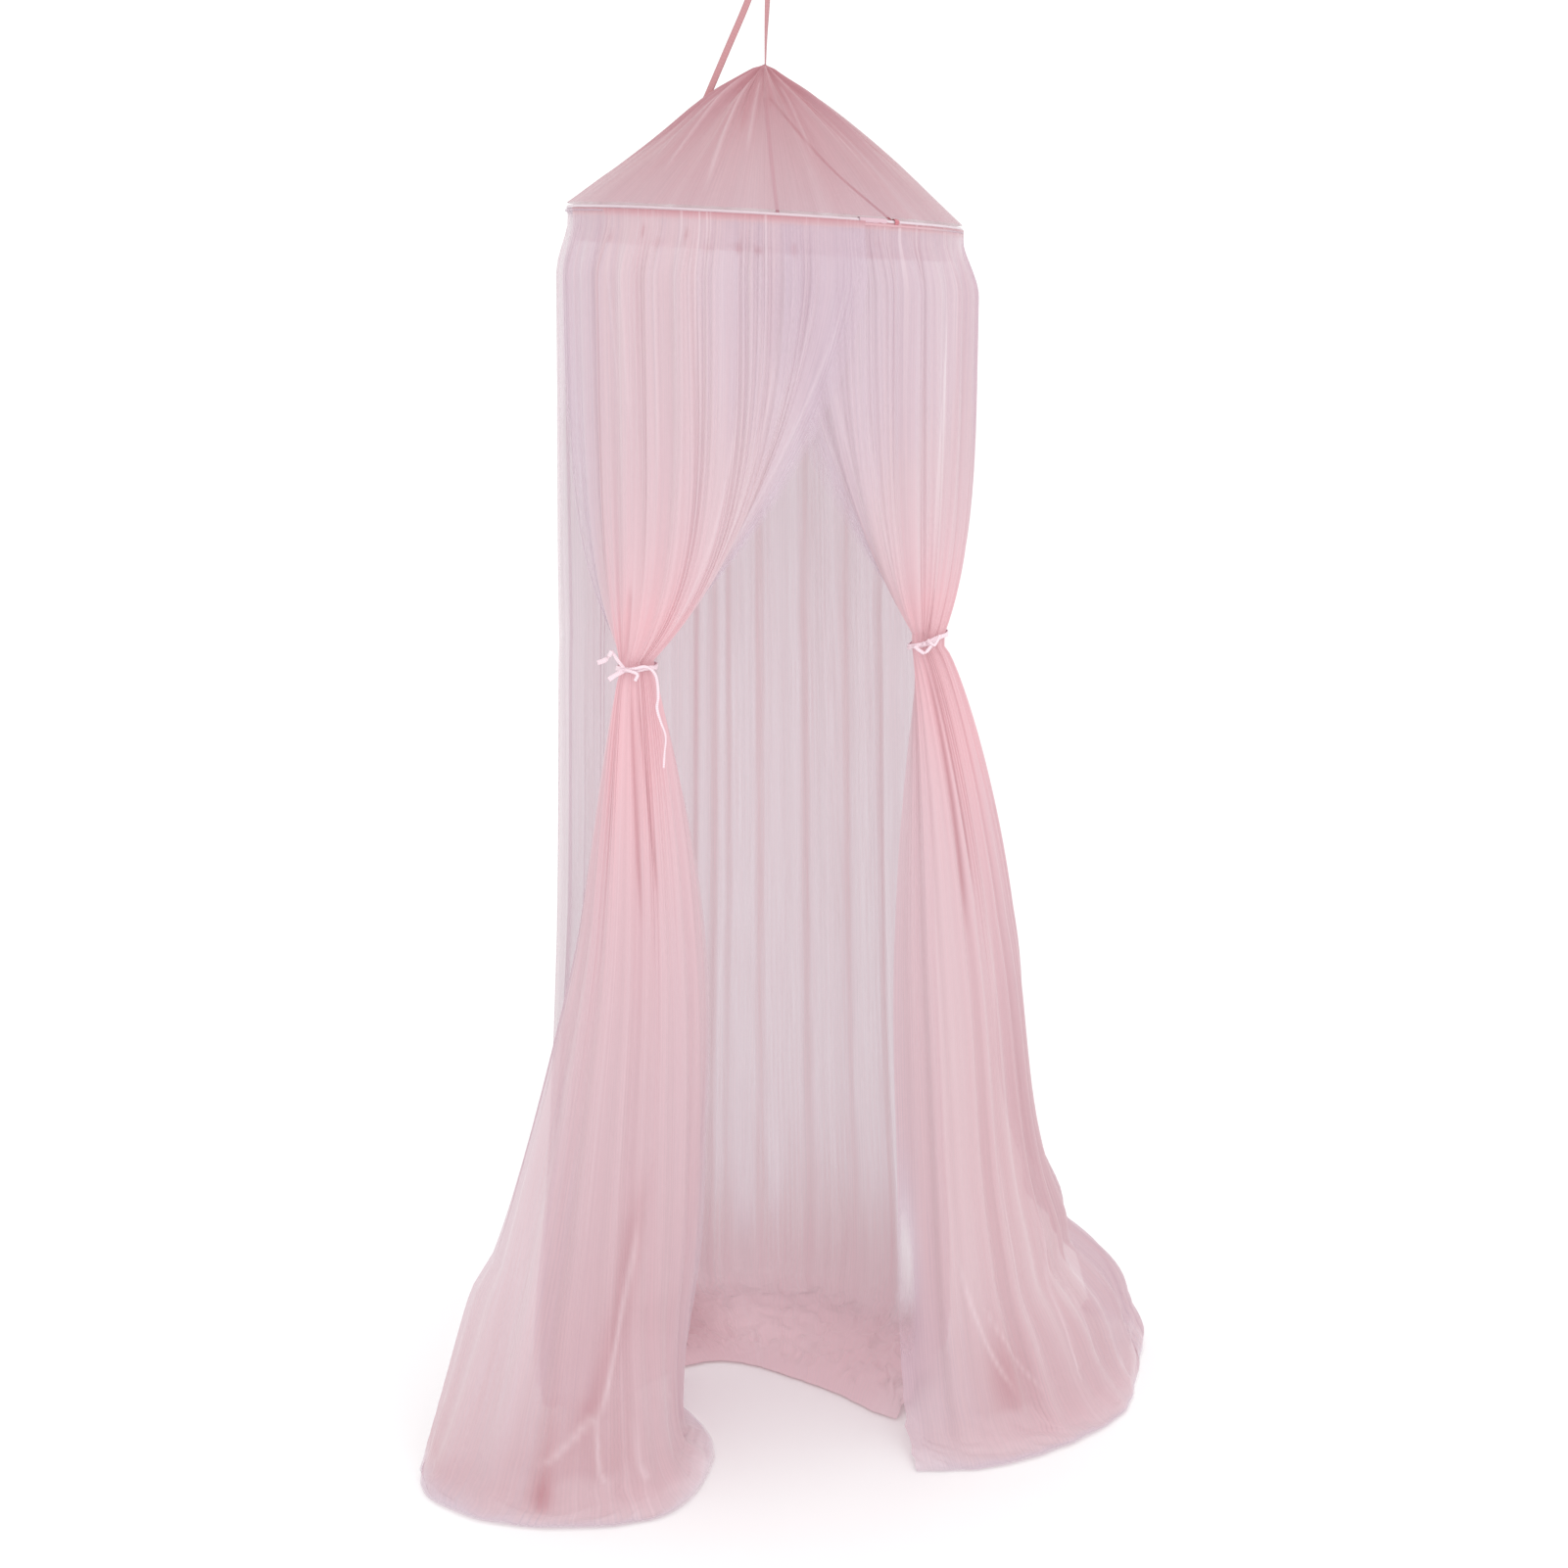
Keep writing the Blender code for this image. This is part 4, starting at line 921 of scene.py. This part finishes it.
    def gathered(self, way, run, pitch):
        """How far the fine gathers move one row, along it and out of it."""
        wander = sum(reach * soft_noise(self.share * across, run * down, self.seed + number)
                     for number, (reach, across, down) in enumerate(GATHER_WANDER))
        turn = 2 * math.pi * (self.gathers * self.share + wander)
        strength = GATHER_MEAN + soft_noise(self.share * self.gathers * 0.37, run * 1.1, self.seed + 2)
        depth = np.clip(GATHER_RATIO * pitch, GATHER_LEAST, GATHER_LIMIT) * np.clip(strength, 0.0, 1.4)
        depth *= self.depth * (0.10 + 0.90 * self.edge)
        depth *= np.interp(way, *GATHER_FADE)
        lean = -GATHER_LEAN * pitch * np.sin(2 * turn) * np.clip(strength, 0.0, 1.0) * self.depth
        return lean, depth * np.sin(turn)

    def layered(self, line, plan, speed):
        """How many layers of net lie together along one row."""
        seg = np.linalg.norm(np.diff(line, axis=0), axis=1)
        row_length = seg.sum()
        fullness = np.interp(self.share, (self.share[1:] + self.share[:-1]) / 2,
                             seg * self.columns / np.clip((speed[1:] + speed[:-1]) / 2, 0.01, None))
        mean = row_length / np.linalg.norm(np.diff(plan, axis=0), axis=1).sum()
        return np.clip(fullness / mean, 0.3, 3) ** 0.2 * mean * max(self.flat_width / row_length, 0.8)

    def streaked(self, way, run, speed):
        """How much the streaks thicken the net along one row, and how much painted highlight the hair streaks put on
        it.
        """
        u = self.share * self.flat_width
        broad = soft_noise(u / BROAD_STREAK, run * 0.7, self.seed + 8)
        fine = soft_noise(u / FINE_STREAK, run * 1.2, self.seed + 9)
        hair = soft_noise(u / HAIR_STREAK, run * 1.5, self.seed + 10)
        strong = np.interp(way, *STREAK_FADE) * (0.2 + 0.8 * self.edge)
        strong = strong * np.clip(speed / self.flat_width / OPEN_NET, 0.25, 1)
        painted_highlight = strong * HAIR_LIGHT * smoothstep(0.45, 0.95, hair) * (0.5 + 0.5 * broad)
        return strong * (BROAD_STRENGTH * broad + FINE_STRENGTH * fine), painted_highlight

    def crumple(self, points, runs, ways):
        """Small crossing wrinkles where the cloth lies on the floor."""
        size = CRUMPLE if self.bunch is None else 0.6 * CRUMPLE
        size = size * np.interp(ways, *CRUMPLE_FADE)[:, None]
        u = self.share * self.flat_width
        ridge = 1 - 2 * np.abs(soft_noise(u * 22 + runs * 9, runs * 48, self.seed + 5))
        small = soft_noise(u * 60, runs * 120, self.seed + 6)
        drift = size * soft_noise(u * 30, runs * 60, self.seed + 7)
        points[..., 0] += drift
        points[..., 1] -= drift
        points[..., 2] = np.maximum(points[..., 2] + size * (ridge + 0.35 * small), HEM_HEIGHT * 0.5)


def make_panel(name, node, panel, rows, finish):
    """Makes a panel's mesh, with so many rows down to its ribbon, to the floor and on it."""
    points, flat, looks = panel.surface(*rows)
    obj = sheet_object(name, points, flat, attributes=looks)
    finish_piece(obj, node, finish)
    return obj


def cone_surface(columns, rows):
    """The gathered top: the solid's own form, with fine pleats that fade from the neck to the rim."""
    angle = np.linspace(-180, 180, columns, endpoint=False)
    turn = np.radians(angle)
    rim = np.array([on_hoop(a, CONE_RIM_RADIUS, CONE_RIM_HEIGHT) for a in angle])
    neck_height = APEX_HEIGHT - HANG_HEIGHT
    neck = np.column_stack([CONE_NECK * np.sin(turn), -CONE_NECK * np.cos(turn), np.full(columns, neck_height)])
    left = 0.5 - 0.5 * np.sin(turn)
    grid, layers, lights, shades = [], [], [], []
    for reach in eased(rows):
        row = neck + (rim - neck) * reach
        at_left, at_right = (smooth_curve(CONE_BULGE[0], side, reach)[0] for side in CONE_BULGE[1:])
        bulge = at_right + (at_left - at_right) * left
        pleat = CONE_PLEATS * np.mod(angle, 360) / 360
        uneven = 1 + 0.4 * np.sin(3.1 * pleat + 0.6)
        main = CONE_PLEAT * math.sin(math.pi * min(reach + 0.18, 1.0)) * uneven * np.sin(2 * math.pi * pleat)
        wander = 1.1 * ring_noise(angle, 9, reach * 1.5, 41) + 0.5 * ring_noise(angle, 33, reach * 2, 42)
        strength = np.clip(GATHER_MEAN + ring_noise(angle, 40, reach * 1.4, 43), 0.0, 1.5)
        fade = 1 - 0.85 * float(smoothstep(0.10, 0.75, reach))
        around = 2 * math.pi * (CONE_NECK + (CONE_RIM_RADIUS - CONE_NECK) * reach)
        depth = min(0.3 * around / CONE_GATHERS, CONE_GATHER_LIMIT) * strength * fade
        fine = depth * np.sin(2 * math.pi * (CONE_GATHERS * angle / 360 + wander))
        raised, light, shade = creased(CONE_CREASES, angle, reach, around / 360)
        row[:, 2] += bulge + (main + fine + raised) * float(smoothstep(0.0, 0.06, reach))
        grid.append(row)
        fuller = np.clip(CONE_FLAT_ROUND * (0.25 + 0.75 * reach) / around, 1.0, 6.0)
        streak = 1 + 0.16 * ring_noise(angle, 52, reach * 0.9, 44) + 0.10 * ring_noise(angle, 130, reach * 0.9, 45)
        layers.append(CONE_LAYERS * fuller * streak * (1 + 0.5 * (strength - GATHER_MEAN) * fade))
        # painted highlight and painted shade, from the creases and the patches
        lights.append(light + patched(CONE_LIGHT, angle, reach))
        shades.append(shade + patched(CONE_SHADE, angle, reach))
    looks = {"gather": np.array(layers), "light": np.clip(lights, 0, 1), "painted_shade": np.clip(shades, 0, 1)}
    return np.array(grid), looks, angle


def heading_surface(columns, rows):
    """The gathered strip inside the top of the panels, with its stitched lower edge."""
    angle = np.linspace(0, 360, columns, endpoint=False)
    grid, layers, shades = [], [], []
    for share in np.linspace(0, 1, rows):
        rise = HEADING_TOP + (HEADING_BOTTOM - HEADING_TOP) * share
        strength = 0.6 + 0.6 * soft_noise(angle / 5, share * 2, 61)
        depth = HEADING_DEPTH * (0.35 + 0.65 * share) * strength
        turn = 2 * math.pi * (HEADING_GATHERS * angle / 360 + 0.8 * soft_noise(angle / 12, share, 62))
        radius = HEADING_RADIUS + depth * np.sin(turn)
        grid.append([on_hoop(a, r, rise) for a, r in zip(angle, radius)])
        fuller = 2.2 + 2.4 * np.clip(strength - 0.5, 0, 1) + 1.5 * math.exp(-((share - 0.93) / 0.05) ** 2)
        layers.append(fuller * (1 - 0.85 * np.exp(-((np.abs((angle + 180) % 360 - 180) - 90) / 22) ** 2)))
        # painted shade: a little over the whole strip, more at its puckered stitches
        shades.append(0.2 + patched(HEADING_PUCKER_SHADE, (angle + 180) % 360 - 180, share))
    looks = {"gather": np.array(layers), "light": np.zeros((rows, columns)), "painted_shade": np.clip(shades, 0, 1)}
    return np.array(grid), looks, angle


# ---------------------------------------------------------------- ribbons


def ribbon(centres, across, width, cup=0.0, segments=4):
    """A grid of points across and along a ribbon, and its flat coordinates."""
    centres = np.array(centres, float)
    along = np.gradient(centres, axis=0)
    along /= np.linalg.norm(along, axis=1)[:, None]
    side = np.array(across, float)
    side -= along * np.sum(side * along, axis=1)[:, None]
    side /= np.linalg.norm(side, axis=1)[:, None]
    out = np.cross(along, side)
    shares = np.linspace(-1, 1, segments + 1)
    rows = [centres + side * (width / 2 * s) + out * (cup * width * (1 - s * s)) for s in shares]
    run = np.concatenate([[0], np.cumsum(np.linalg.norm(np.diff(centres, axis=0), axis=1))])
    points = np.stack(rows, axis=1)
    flat = np.stack([np.broadcast_to(shares * width / 2, points.shape[:2]),
                     np.broadcast_to(run[:, None], points.shape[:2])], axis=-1)
    return points, flat


def through(points, count, values=None):
    """Points at even steps along a smooth curve through a few points, or values given at those points."""
    points = np.array([tuple(point) for point in points], float)
    knots = np.concatenate([[0], np.cumsum(np.linalg.norm(np.diff(points, axis=0), axis=1))])
    return smooth_curve(knots, points if values is None else values, np.linspace(0, knots[-1], count))


def joined(name, objects):
    """Joins the objects into one mesh."""
    deselect()
    for obj in objects:
        obj.select_set(True)
    bpy.context.view_layer.objects.active = objects[0]
    if len(objects) > 1:
        bpy.ops.object.join()
    objects[0].name = name
    objects[0].data.name = name
    return objects[0]


def solidify(obj, thickness):
    make_active(obj)
    modifier = obj.modifiers.new("cloth thickness", "SOLIDIFY")
    modifier.thickness = thickness
    modifier.offset = 0.0
    bpy.ops.object.modifier_apply(modifier=modifier.name)
    return obj


def tie_band_point(centre, tilt, turn, grow=0.0):
    reach = TIE_GAP + BAND_THICKNESS / 2 + grow
    x = (BUNCH_WIDE + reach) * math.sin(turn)
    y = -(BUNCH_DEEP + reach) * math.cos(turn)
    return place(centre.x + x, centre.y + y, centre.z + tilt * x)


def make_tie(name, node, finish, centre, ends, tilt, knot_turn):
    """A satin ribbon wound round a bunch, with its knot in front and its free ends. It rises by the tilt, in metres
    for each metre to the right, and its knot stands so many degrees from the front."""
    count = 96
    turns = [2 * math.pi * i / count for i in range(count + 1)]
    parts = []
    for rise, phase in TIE_TURNS:
        band = [tie_band_point(centre, tilt, turn, 0.0004 * math.sin(9 * turn + phase)) for turn in turns]
        band = [point + Vector((0, 0, rise * (1 + 0.8 * math.sin(4 * turn + phase))))
                for point, turn in zip(band, turns)]
        parts.append(sheet_object(f"{name}_band_{phase}", *ribbon(band, [(0, 0, 1)] * len(band), BAND_WIDTH, 0.3)))
    knot = tie_band_point(centre, tilt, math.radians(knot_turn)) - Vector((0, 0.0025, 0))
    for i, (size, lean) in enumerate(KNOT_WRAPS):
        loop = [knot + Vector((math.cos(lean) * math.cos(t), 0.8 * math.sin(t), math.sin(lean) * math.cos(t))) * size
                for t in (2 * math.pi * j / 24 for j in range(25))]
        axis = (-math.sin(lean), 0.0, math.cos(lean))
        parts.append(sheet_object(f"{name}_wrap_{i}", *ribbon(loop, [axis] * 25, BAND_WIDTH, -0.2)))
    for i, end in enumerate(ends):
        centres = through([knot + Vector(point) for point in end.route], 12 * len(end.route))
        turned = np.linspace(0, 1, len(centres))[:, None]
        across = np.array(end.start, float) * (1 - turned) + np.array(end.finish, float) * turned
        across = across + 0.25 * np.sin(9 * turned + i) * np.array((0.5, -0.6, 0.5))
        parts.append(sheet_object(f"{name}_end_{i}", *ribbon(centres, across, end.wide, 0.3)))
    obj = solidify(joined(name, parts), RIBBON_THICKNESS)
    finish_piece(obj, node, finish)
    return obj


# ---------------------------------------------------------------- properties


class CanopyColours(bpy.types.PropertyGroup):
    """Colours of the canopy's net, with its cover and glow."""

    thin: FloatVectorProperty(name="Thin net", description="Net where a single layer hangs", subtype="COLOR",
                              size=3, min=0, max=1, default=linear("#AE9BA7"))
    soft: FloatVectorProperty(name="Soft net", description="Net where a few layers lie together", subtype="COLOR",
                              size=3, min=0, max=1, default=linear("#B49DA3"))
    dense: FloatVectorProperty(name="Gathered net", description="Net where many layers lie together",
                               subtype="COLOR", size=3, min=0, max=1, default=linear("#C29CA2"))
    # Painted shade: the darker colour mixed into the net in its crumples and pleats, over the cone and along the hoop.
    painted_shade: FloatVectorProperty(name="Painted net shade", description="Net in the shade of its own crumples",
                              subtype="COLOR", size=3, min=0, max=1, default=linear("#9B6A71"))
    # Painted highlight: the paler colour mixed into the net on its creases, hems and rims, where its light attribute
    # is set.
    edge: FloatVectorProperty(name="Painted net highlight", description="Hems and creases, which catch the light",
                              subtype="COLOR", size=3, min=0, max=1, default=linear("#C6BABE"))
    cover: FloatProperty(name="Cover", description="Share of the view that one layer of net hides", default=0.48,
                         min=0.02, max=0.9, subtype="FACTOR")
    # Painted light: how strongly the net glows with its own colour, which lifts the shade in its folds.
    painted_glow: FloatProperty(name="Glow", description="Light that the threads pass on from fold to fold", default=0.42,
                        min=0.0, max=1.0, subtype="FACTOR")


class CanopySizes(bpy.types.PropertyGroup):
    """Flat sizes of the net, before it is gathered."""

    back_width: FloatProperty(name="Back panel", description="Flat width of the net round the back and sides",
                              default=1.42, min=0.5, max=6, unit="LENGTH")
    left_width: FloatProperty(name="Left front panel", description="Flat width of the left front panel's net",
                              default=0.75, min=0.5, max=6, unit="LENGTH")
    right_width: FloatProperty(name="Right front panel", description="Flat width of the right front panel's net",
                               default=0.76, min=0.5, max=6, unit="LENGTH")
    back_gathers: IntProperty(name="Back gathers", description="Fine gathers across the back panel", default=66,
                              min=8, max=80)
    front_gathers: IntProperty(name="Front gathers", description="Fine gathers across each front panel",
                               default=52, min=8, max=60)


# ---------------------------------------------------------------- operators


class CANOPY_OT_panels(bpy.types.Operator):
    """Makes the three net panels that hang from the hoop"""

    bl_idname = "canopy.panels"
    bl_label = "Net panels"

    def execute(self, context):
        sizes = context.scene.canopy_sizes
        finish = tulle(TULLE, context.scene.canopy_colours)
        back = NetPanel(BACK_PANEL, folds=16, gathers=sizes.back_gathers, flat_width=sizes.back_width, seed=101,
                        phase=0.4, layers=1.35, depth=0.6, looks=(BACK_DENSITY, BACK_LIGHT, BACK_SHADE, ()),
                        pool=BACK_POOL, calm=(0.34, 0.16), inset=0.003)
        make_panel("back_net", "net_back_panel", back, BACK_ROWS, finish)
        left = NetPanel(LEFT_PANEL, folds=11, gathers=sizes.front_gathers, flat_width=sizes.left_width, seed=202,
                        phase=1.7, layers=1.6, depth=0.7, looks=(LEFT_DENSITY, LEFT_LIGHT, LEFT_SHADE, LEFT_CREASES),
                        bunch=LEFT_BUNCH, lap=LAP_RADIUS, calm=(0.18, 0.14))
        make_panel("left_front_net", "net_left_panel", left, TIED_ROWS, finish)
        right = NetPanel(RIGHT_PANEL, folds=12, gathers=sizes.front_gathers, flat_width=sizes.right_width, seed=303,
                         phase=2.9, layers=1.6, depth=0.7,
                         looks=(RIGHT_DENSITY, RIGHT_LIGHT, RIGHT_SHADE, RIGHT_CREASES), bunch=RIGHT_BUNCH,
                         calm=(0.14, 0.18), swing=RIGHT_SWING)
        make_panel("right_front_net", "net_right_panel", right, TIED_ROWS, finish)
        return {"FINISHED"}


class CANOPY_OT_top(bpy.types.Operator):
    """Makes the gathered cone with its two tapes, the heading strip and the casing under the hoop"""

    bl_idname = "canopy.top"
    bl_label = "Gathered top"

    def execute(self, context):
        finish = bpy.data.materials[TULLE]
        self.cone(finish)
        self.heading(finish)
        self.casing(finish)
        return {"FINISHED"}

    def cone(self, finish):
        points, looks, angle = cone_surface(CONE_GATHERS * RING_COLUMNS, CONE_ROWS)
        reach = eased(CONE_ROWS)
        flat = np.stack(np.broadcast_arrays((angle / 360 * CONE_FLAT_ROUND)[None], (reach * CONE_SLANT)[:, None]),
                        axis=-1)
        cone = sheet_object("cone_net", points, flat, ring=True, attributes=looks)
        finish_piece(cone, "net_cone", finish)
        tape = woven("Polyester tape, plain woven", "#C87A84", "#BC6E78", thread=0.9 * MM, roughness=0.7, sheen=0.2)
        pale = woven("Polyester tape, plain woven and faded", "#DDB0B8", "#D3A4AC", thread=0.9 * MM, roughness=0.7,
                     sheen=0.2)
        tapes = [self.support("front_tape", "support_tape_front", tape, angle=39.0, sag=0.012),
                 self.support("back_tape", "support_tape_back", pale, angle=176.0, sag=0.008)]

    def heading(self, finish):
        points, looks, angle = heading_surface(HEADING_GATHERS * RING_COLUMNS, HEADING_ROWS)
        depth = np.linspace(0, HEADING_TOP - HEADING_BOTTOM, HEADING_ROWS)
        flat = np.stack(np.broadcast_arrays((angle / 360 * HEADING_THREADS)[None], depth[:, None]), axis=-1)
        strip = sheet_object("heading_net", points, flat, ring=True, attributes=looks)
        finish_piece(strip, "heading_band", finish)

    def casing(self, finish):
        angles = np.linspace(0, 360, HOOP_STEPS, endpoint=False)
        rises = np.array([CASING_TOP, *CASING_ROLL, CASING_BOTTOM])
        points = np.array([[on_hoop(angle, CASING_RADIUS + out, rise) for angle in angles]
                           for rise, out in zip(rises, CASING_OUT)])
        flat = np.stack(np.broadcast_arrays((np.radians(angles) * HOOP_RADIUS)[None], rises[:, None]), axis=-1)
        seam = np.array(CASING_SEAM)[:, None] * np.interp(angles, *CASING_SEEN)
        # the seam's gathers add layers of net and painted shade
        looks = {"gather": 0.6 + 8.0 * seam, "light": np.zeros(seam.shape), "painted_shade": 0.35 * seam}
        casing = sheet_object("casing_tape", points, flat, ring=True, attributes=looks)
        finish_piece(casing, "hoop_casing", finish)

    def support(self, name, node, finish, angle, sag):
        """A tape from under the cone's point to its knot round the hoop."""
        foot = on_hoop(angle)
        out = Vector((math.sin(math.radians(angle)), -math.cos(math.radians(angle)), 0))
        top = place(TAPE_NECK * out.x, TAPE_NECK * out.y, APEX_HEIGHT - TAPE_TOP)
        inner = HOOP_ROD + 0.0011
        end = foot - out * (inner + 0.001) + Vector((0, 0, 0.001))
        middle = top.lerp(end, 0.5) - Vector((0, 0, sag))
        across = out.cross(Vector((0, 0, 1)))
        centres = through([top, middle, end], 40)
        parts = [sheet_object(name + "_run", *ribbon(centres, [across] * 40, TAPE_WIDTH, 0.08))]
        up = Vector((0, 0, 1))
        for i, (grow, shift) in enumerate(TAPE_TURNS):
            ring = [foot + across * shift + (out * math.cos(t) + up * math.sin(t)) * (inner + grow)
                    for t in (2 * math.pi * j / 24 for j in range(25))]
            parts.append(sheet_object(f"{name}_wrap_{i}", *ribbon(ring, [across] * 25, TAPE_WIDTH)))
        knot = foot - out * (inner + 0.0040) - up * 0.002
        for i, lean in enumerate(TAPE_KNOT):
            loop = [knot + (across * math.cos(lean) * math.cos(t) + up * math.sin(lean) * math.cos(t)
                            + out * 0.7 * math.sin(t)) * 0.0036 for t in (2 * math.pi * j / 20 for j in range(21))]
            axis = up * math.cos(lean) - across * math.sin(lean)
            parts.append(sheet_object(f"{name}_knot_{i}", *ribbon(loop, [axis] * 21, TAPE_WIDTH * 0.8, -0.1)))
        obj = solidify(joined(name, parts), RIBBON_THICKNESS)
        return finish_piece(obj, node, finish)


class CANOPY_OT_hoop(bpy.types.Operator):
    """Makes the hoop and the sleeve over its joint"""

    bl_idname = "canopy.hoop"
    bl_label = "Hoop"

    def execute(self, context):
        plastic = extruded_plastic("Polypropylene, extruded", "#DCCBD2")
        hoop = self.ring("hoop_rod", HOOP_ROD)
        finish_piece(hoop, "hoop", plastic)
        sleeve = self.ring("joint_sleeve", SLEEVE_RADIUS)
        self.keep_arc(sleeve, HOOP_JOIN_ANGLE, SLEEVE_LENGTH)
        finish_piece(sleeve, "hoop_sleeve", extruded_plastic("Polyethylene tube, extruded", "#D2B2BC"))
        return {"FINISHED"}

    def ring(self, name, radius):
        fresh(name)
        deselect()
        bpy.ops.mesh.primitive_torus_add(major_radius=HOOP_RADIUS, minor_radius=radius, major_segments=HOOP_STEPS,
                                         minor_segments=ROD_SIDES, location=place(0, 0, HOOP_HEIGHT),
                                         rotation=(0, HOOP_ROLL, 0))
        obj = bpy.context.active_object
        obj.name = obj.data.name = name
        bpy.ops.object.transform_apply(location=True, rotation=True, scale=True)
        bpy.ops.object.shade_smooth()
        return obj

    def keep_arc(self, obj, angle, length):
        """Cuts the ring down to a short arc."""
        make_active(obj)
        half = math.degrees(length / 2 / HOOP_RADIUS)
        for end, side in ((angle - half, 1), (angle + half, -1)):
            turn = math.radians(end)
            bpy.ops.object.mode_set(mode="EDIT")
            bpy.ops.mesh.select_all(action="SELECT")
            bpy.ops.mesh.bisect(plane_co=on_hoop(end),
                                plane_no=(side * math.cos(turn), side * math.sin(turn), 0),
                                clear_inner=True, use_fill=False)
            bpy.ops.object.mode_set(mode="OBJECT")
        shape = bmesh.new()
        shape.from_mesh(obj.data)
        far = [v for v in shape.verts if v.co.y > 0 or v.co.x < 0]
        bmesh.ops.delete(shape, geom=far, context="VERTS")
        shape.to_mesh(obj.data)
        shape.free()


class CANOPY_OT_strap(bpy.types.Operator):
    """Makes the strap that the canopy hangs from"""

    bl_idname = "canopy.strap"
    bl_label = "Hanging strap"

    def execute(self, context):
        finish = woven("Net strap, folded and stitched", "#C08C90", "#BC888C", thread=0.8 * MM, roughness=0.75,
                       sheen=0.1)
        route = [place(*point) for point in STRAP_ROUTE]
        centres = through(route, STRAP_STEPS)
        along = np.gradient(centres, axis=0)
        sideways = np.cross(along, (0, 1, 0))
        sideways /= np.linalg.norm(sideways, axis=1)[:, None]
        turn = np.radians(through(route, STRAP_STEPS, STRAP_FACING))[:, None]
        across = np.array((0, 1, 0)) * np.cos(turn) + sideways * np.sin(turn)
        obj = solidify(sheet_object("strap_loop", *ribbon(centres, across, STRAP_WIDTH, 0.03)), STRAP_THICKNESS)
        finish_piece(obj, "hanging_strap", finish)
        return {"FINISHED"}


class CANOPY_OT_ties(bpy.types.Operator):
    """Makes the two satin ribbons that hold the front panels open"""

    bl_idname = "canopy.ties"
    bl_label = "Ribbon ties"

    def execute(self, context):
        satin = woven("Satin ribbon, woven polyester", "#EFDCE3", "#E6C9D2", thread=0.5 * MM, roughness=0.4, sheen=0.3)
        make_tie("left_ribbon", "tie_left", satin, LEFT_BUNCH, LEFT_ENDS, tilt=0.05, knot_turn=-31.0)
        make_tie("right_ribbon", "tie_right", satin, RIGHT_BUNCH, RIGHT_ENDS, tilt=0.36, knot_turn=-14.0)
        return {"FINISHED"}


class CANOPY_OT_stage(bpy.types.Operator):
    """Makes the pale floor, the studio light and the camera"""

    bl_idname = "canopy.stage"
    bl_label = "Stage"

    def execute(self, context):
        scene = context.scene
        self.floor()
        self.light("key", KEY_PLACE, KEY_SIZE, KEY_WATTS)
        world = bpy.data.worlds.new("studio")
        world.use_nodes = True
        world.node_tree.nodes["Background"].inputs[0].default_value = (1, 1, 1, 1)
        world.node_tree.nodes["Background"].inputs[1].default_value = SKY_STRENGTH
        scene.world = world
        scene.view_settings.view_transform = "Standard"
        scene.cycles.transparent_max_bounces = 96
        scene.cycles.max_bounces = 6
        scene.cycles.use_denoising = True
        self.camera(scene)
        return {"FINISHED"}

    def floor(self):
        deselect()
        bpy.ops.mesh.primitive_plane_add(size=60, location=place(0, 0, -0.001))
        floor = bpy.context.active_object
        floor.name = "floor"
        bpy.ops.object.transform_apply(location=True, rotation=True, scale=True)
        made, _, shader = new_material("Matt paper floor")  # uncoated, so it shows no highlight
        shader.inputs["Base Color"].default_value = (0.95, 0.95, 0.95, 1)
        shader.inputs["Roughness"].default_value = 0.9
        floor.data.materials.append(made)

    def light(self, name, where, size, watts):
        deselect()
        bpy.ops.object.light_add(type="AREA", location=where)
        lamp = bpy.context.active_object
        lamp.name = name
        lamp.data.size = size
        lamp.data.energy = watts
        aim = Vector(KEY_AIM) - Vector(where)
        lamp.rotation_euler = aim.to_track_quat("-Z", "Y").to_euler()

    def camera(self, scene):
        deselect()
        bpy.ops.object.camera_add(location=place(CAMERA_SIDE, -CAMERA_DISTANCE, CAMERA_HEIGHT),
                                  rotation=(math.pi / 2 - CAMERA_PITCH, 0, 0))
        camera = bpy.context.active_object
        camera.data.lens = CAMERA_LENS
        camera.data.sensor_width = CAMERA_SENSOR
        scene.camera = camera


class CANOPY_PT_sidebar(bpy.types.Panel):
    """Lists the canopy's pieces and their sizes and colours"""

    bl_idname = "CANOPY_PT_sidebar"
    bl_label = "Canopy"
    bl_space_type = "VIEW_3D"
    bl_region_type = "UI"
    bl_category = "Canopy"

    def draw(self, context):
        for settings in (context.scene.canopy_sizes, context.scene.canopy_colours):
            for name in settings.__annotations__:
                self.layout.prop(settings, name)
        for step in STEPS:
            self.layout.operator(step.bl_idname)


STEPS = (CANOPY_OT_panels, CANOPY_OT_top, CANOPY_OT_hoop, CANOPY_OT_strap, CANOPY_OT_ties, CANOPY_OT_stage)
CLASSES = (CanopyColours, CanopySizes, *STEPS, CANOPY_PT_sidebar)


def register():
    for item in CLASSES:
        bpy.utils.register_class(item)
    bpy.types.Scene.canopy_colours = PointerProperty(type=CanopyColours)
    bpy.types.Scene.canopy_sizes = PointerProperty(type=CanopySizes)


def unregister():
    del bpy.types.Scene.canopy_sizes
    del bpy.types.Scene.canopy_colours
    for item in reversed(CLASSES):
        bpy.utils.unregister_class(item)


def main():
    register()
    for step in STEPS:
        group, _, name = step.bl_idname.partition(".")
        getattr(getattr(bpy.ops, group), name)()
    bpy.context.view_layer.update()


if __name__ == "__main__":
    main()
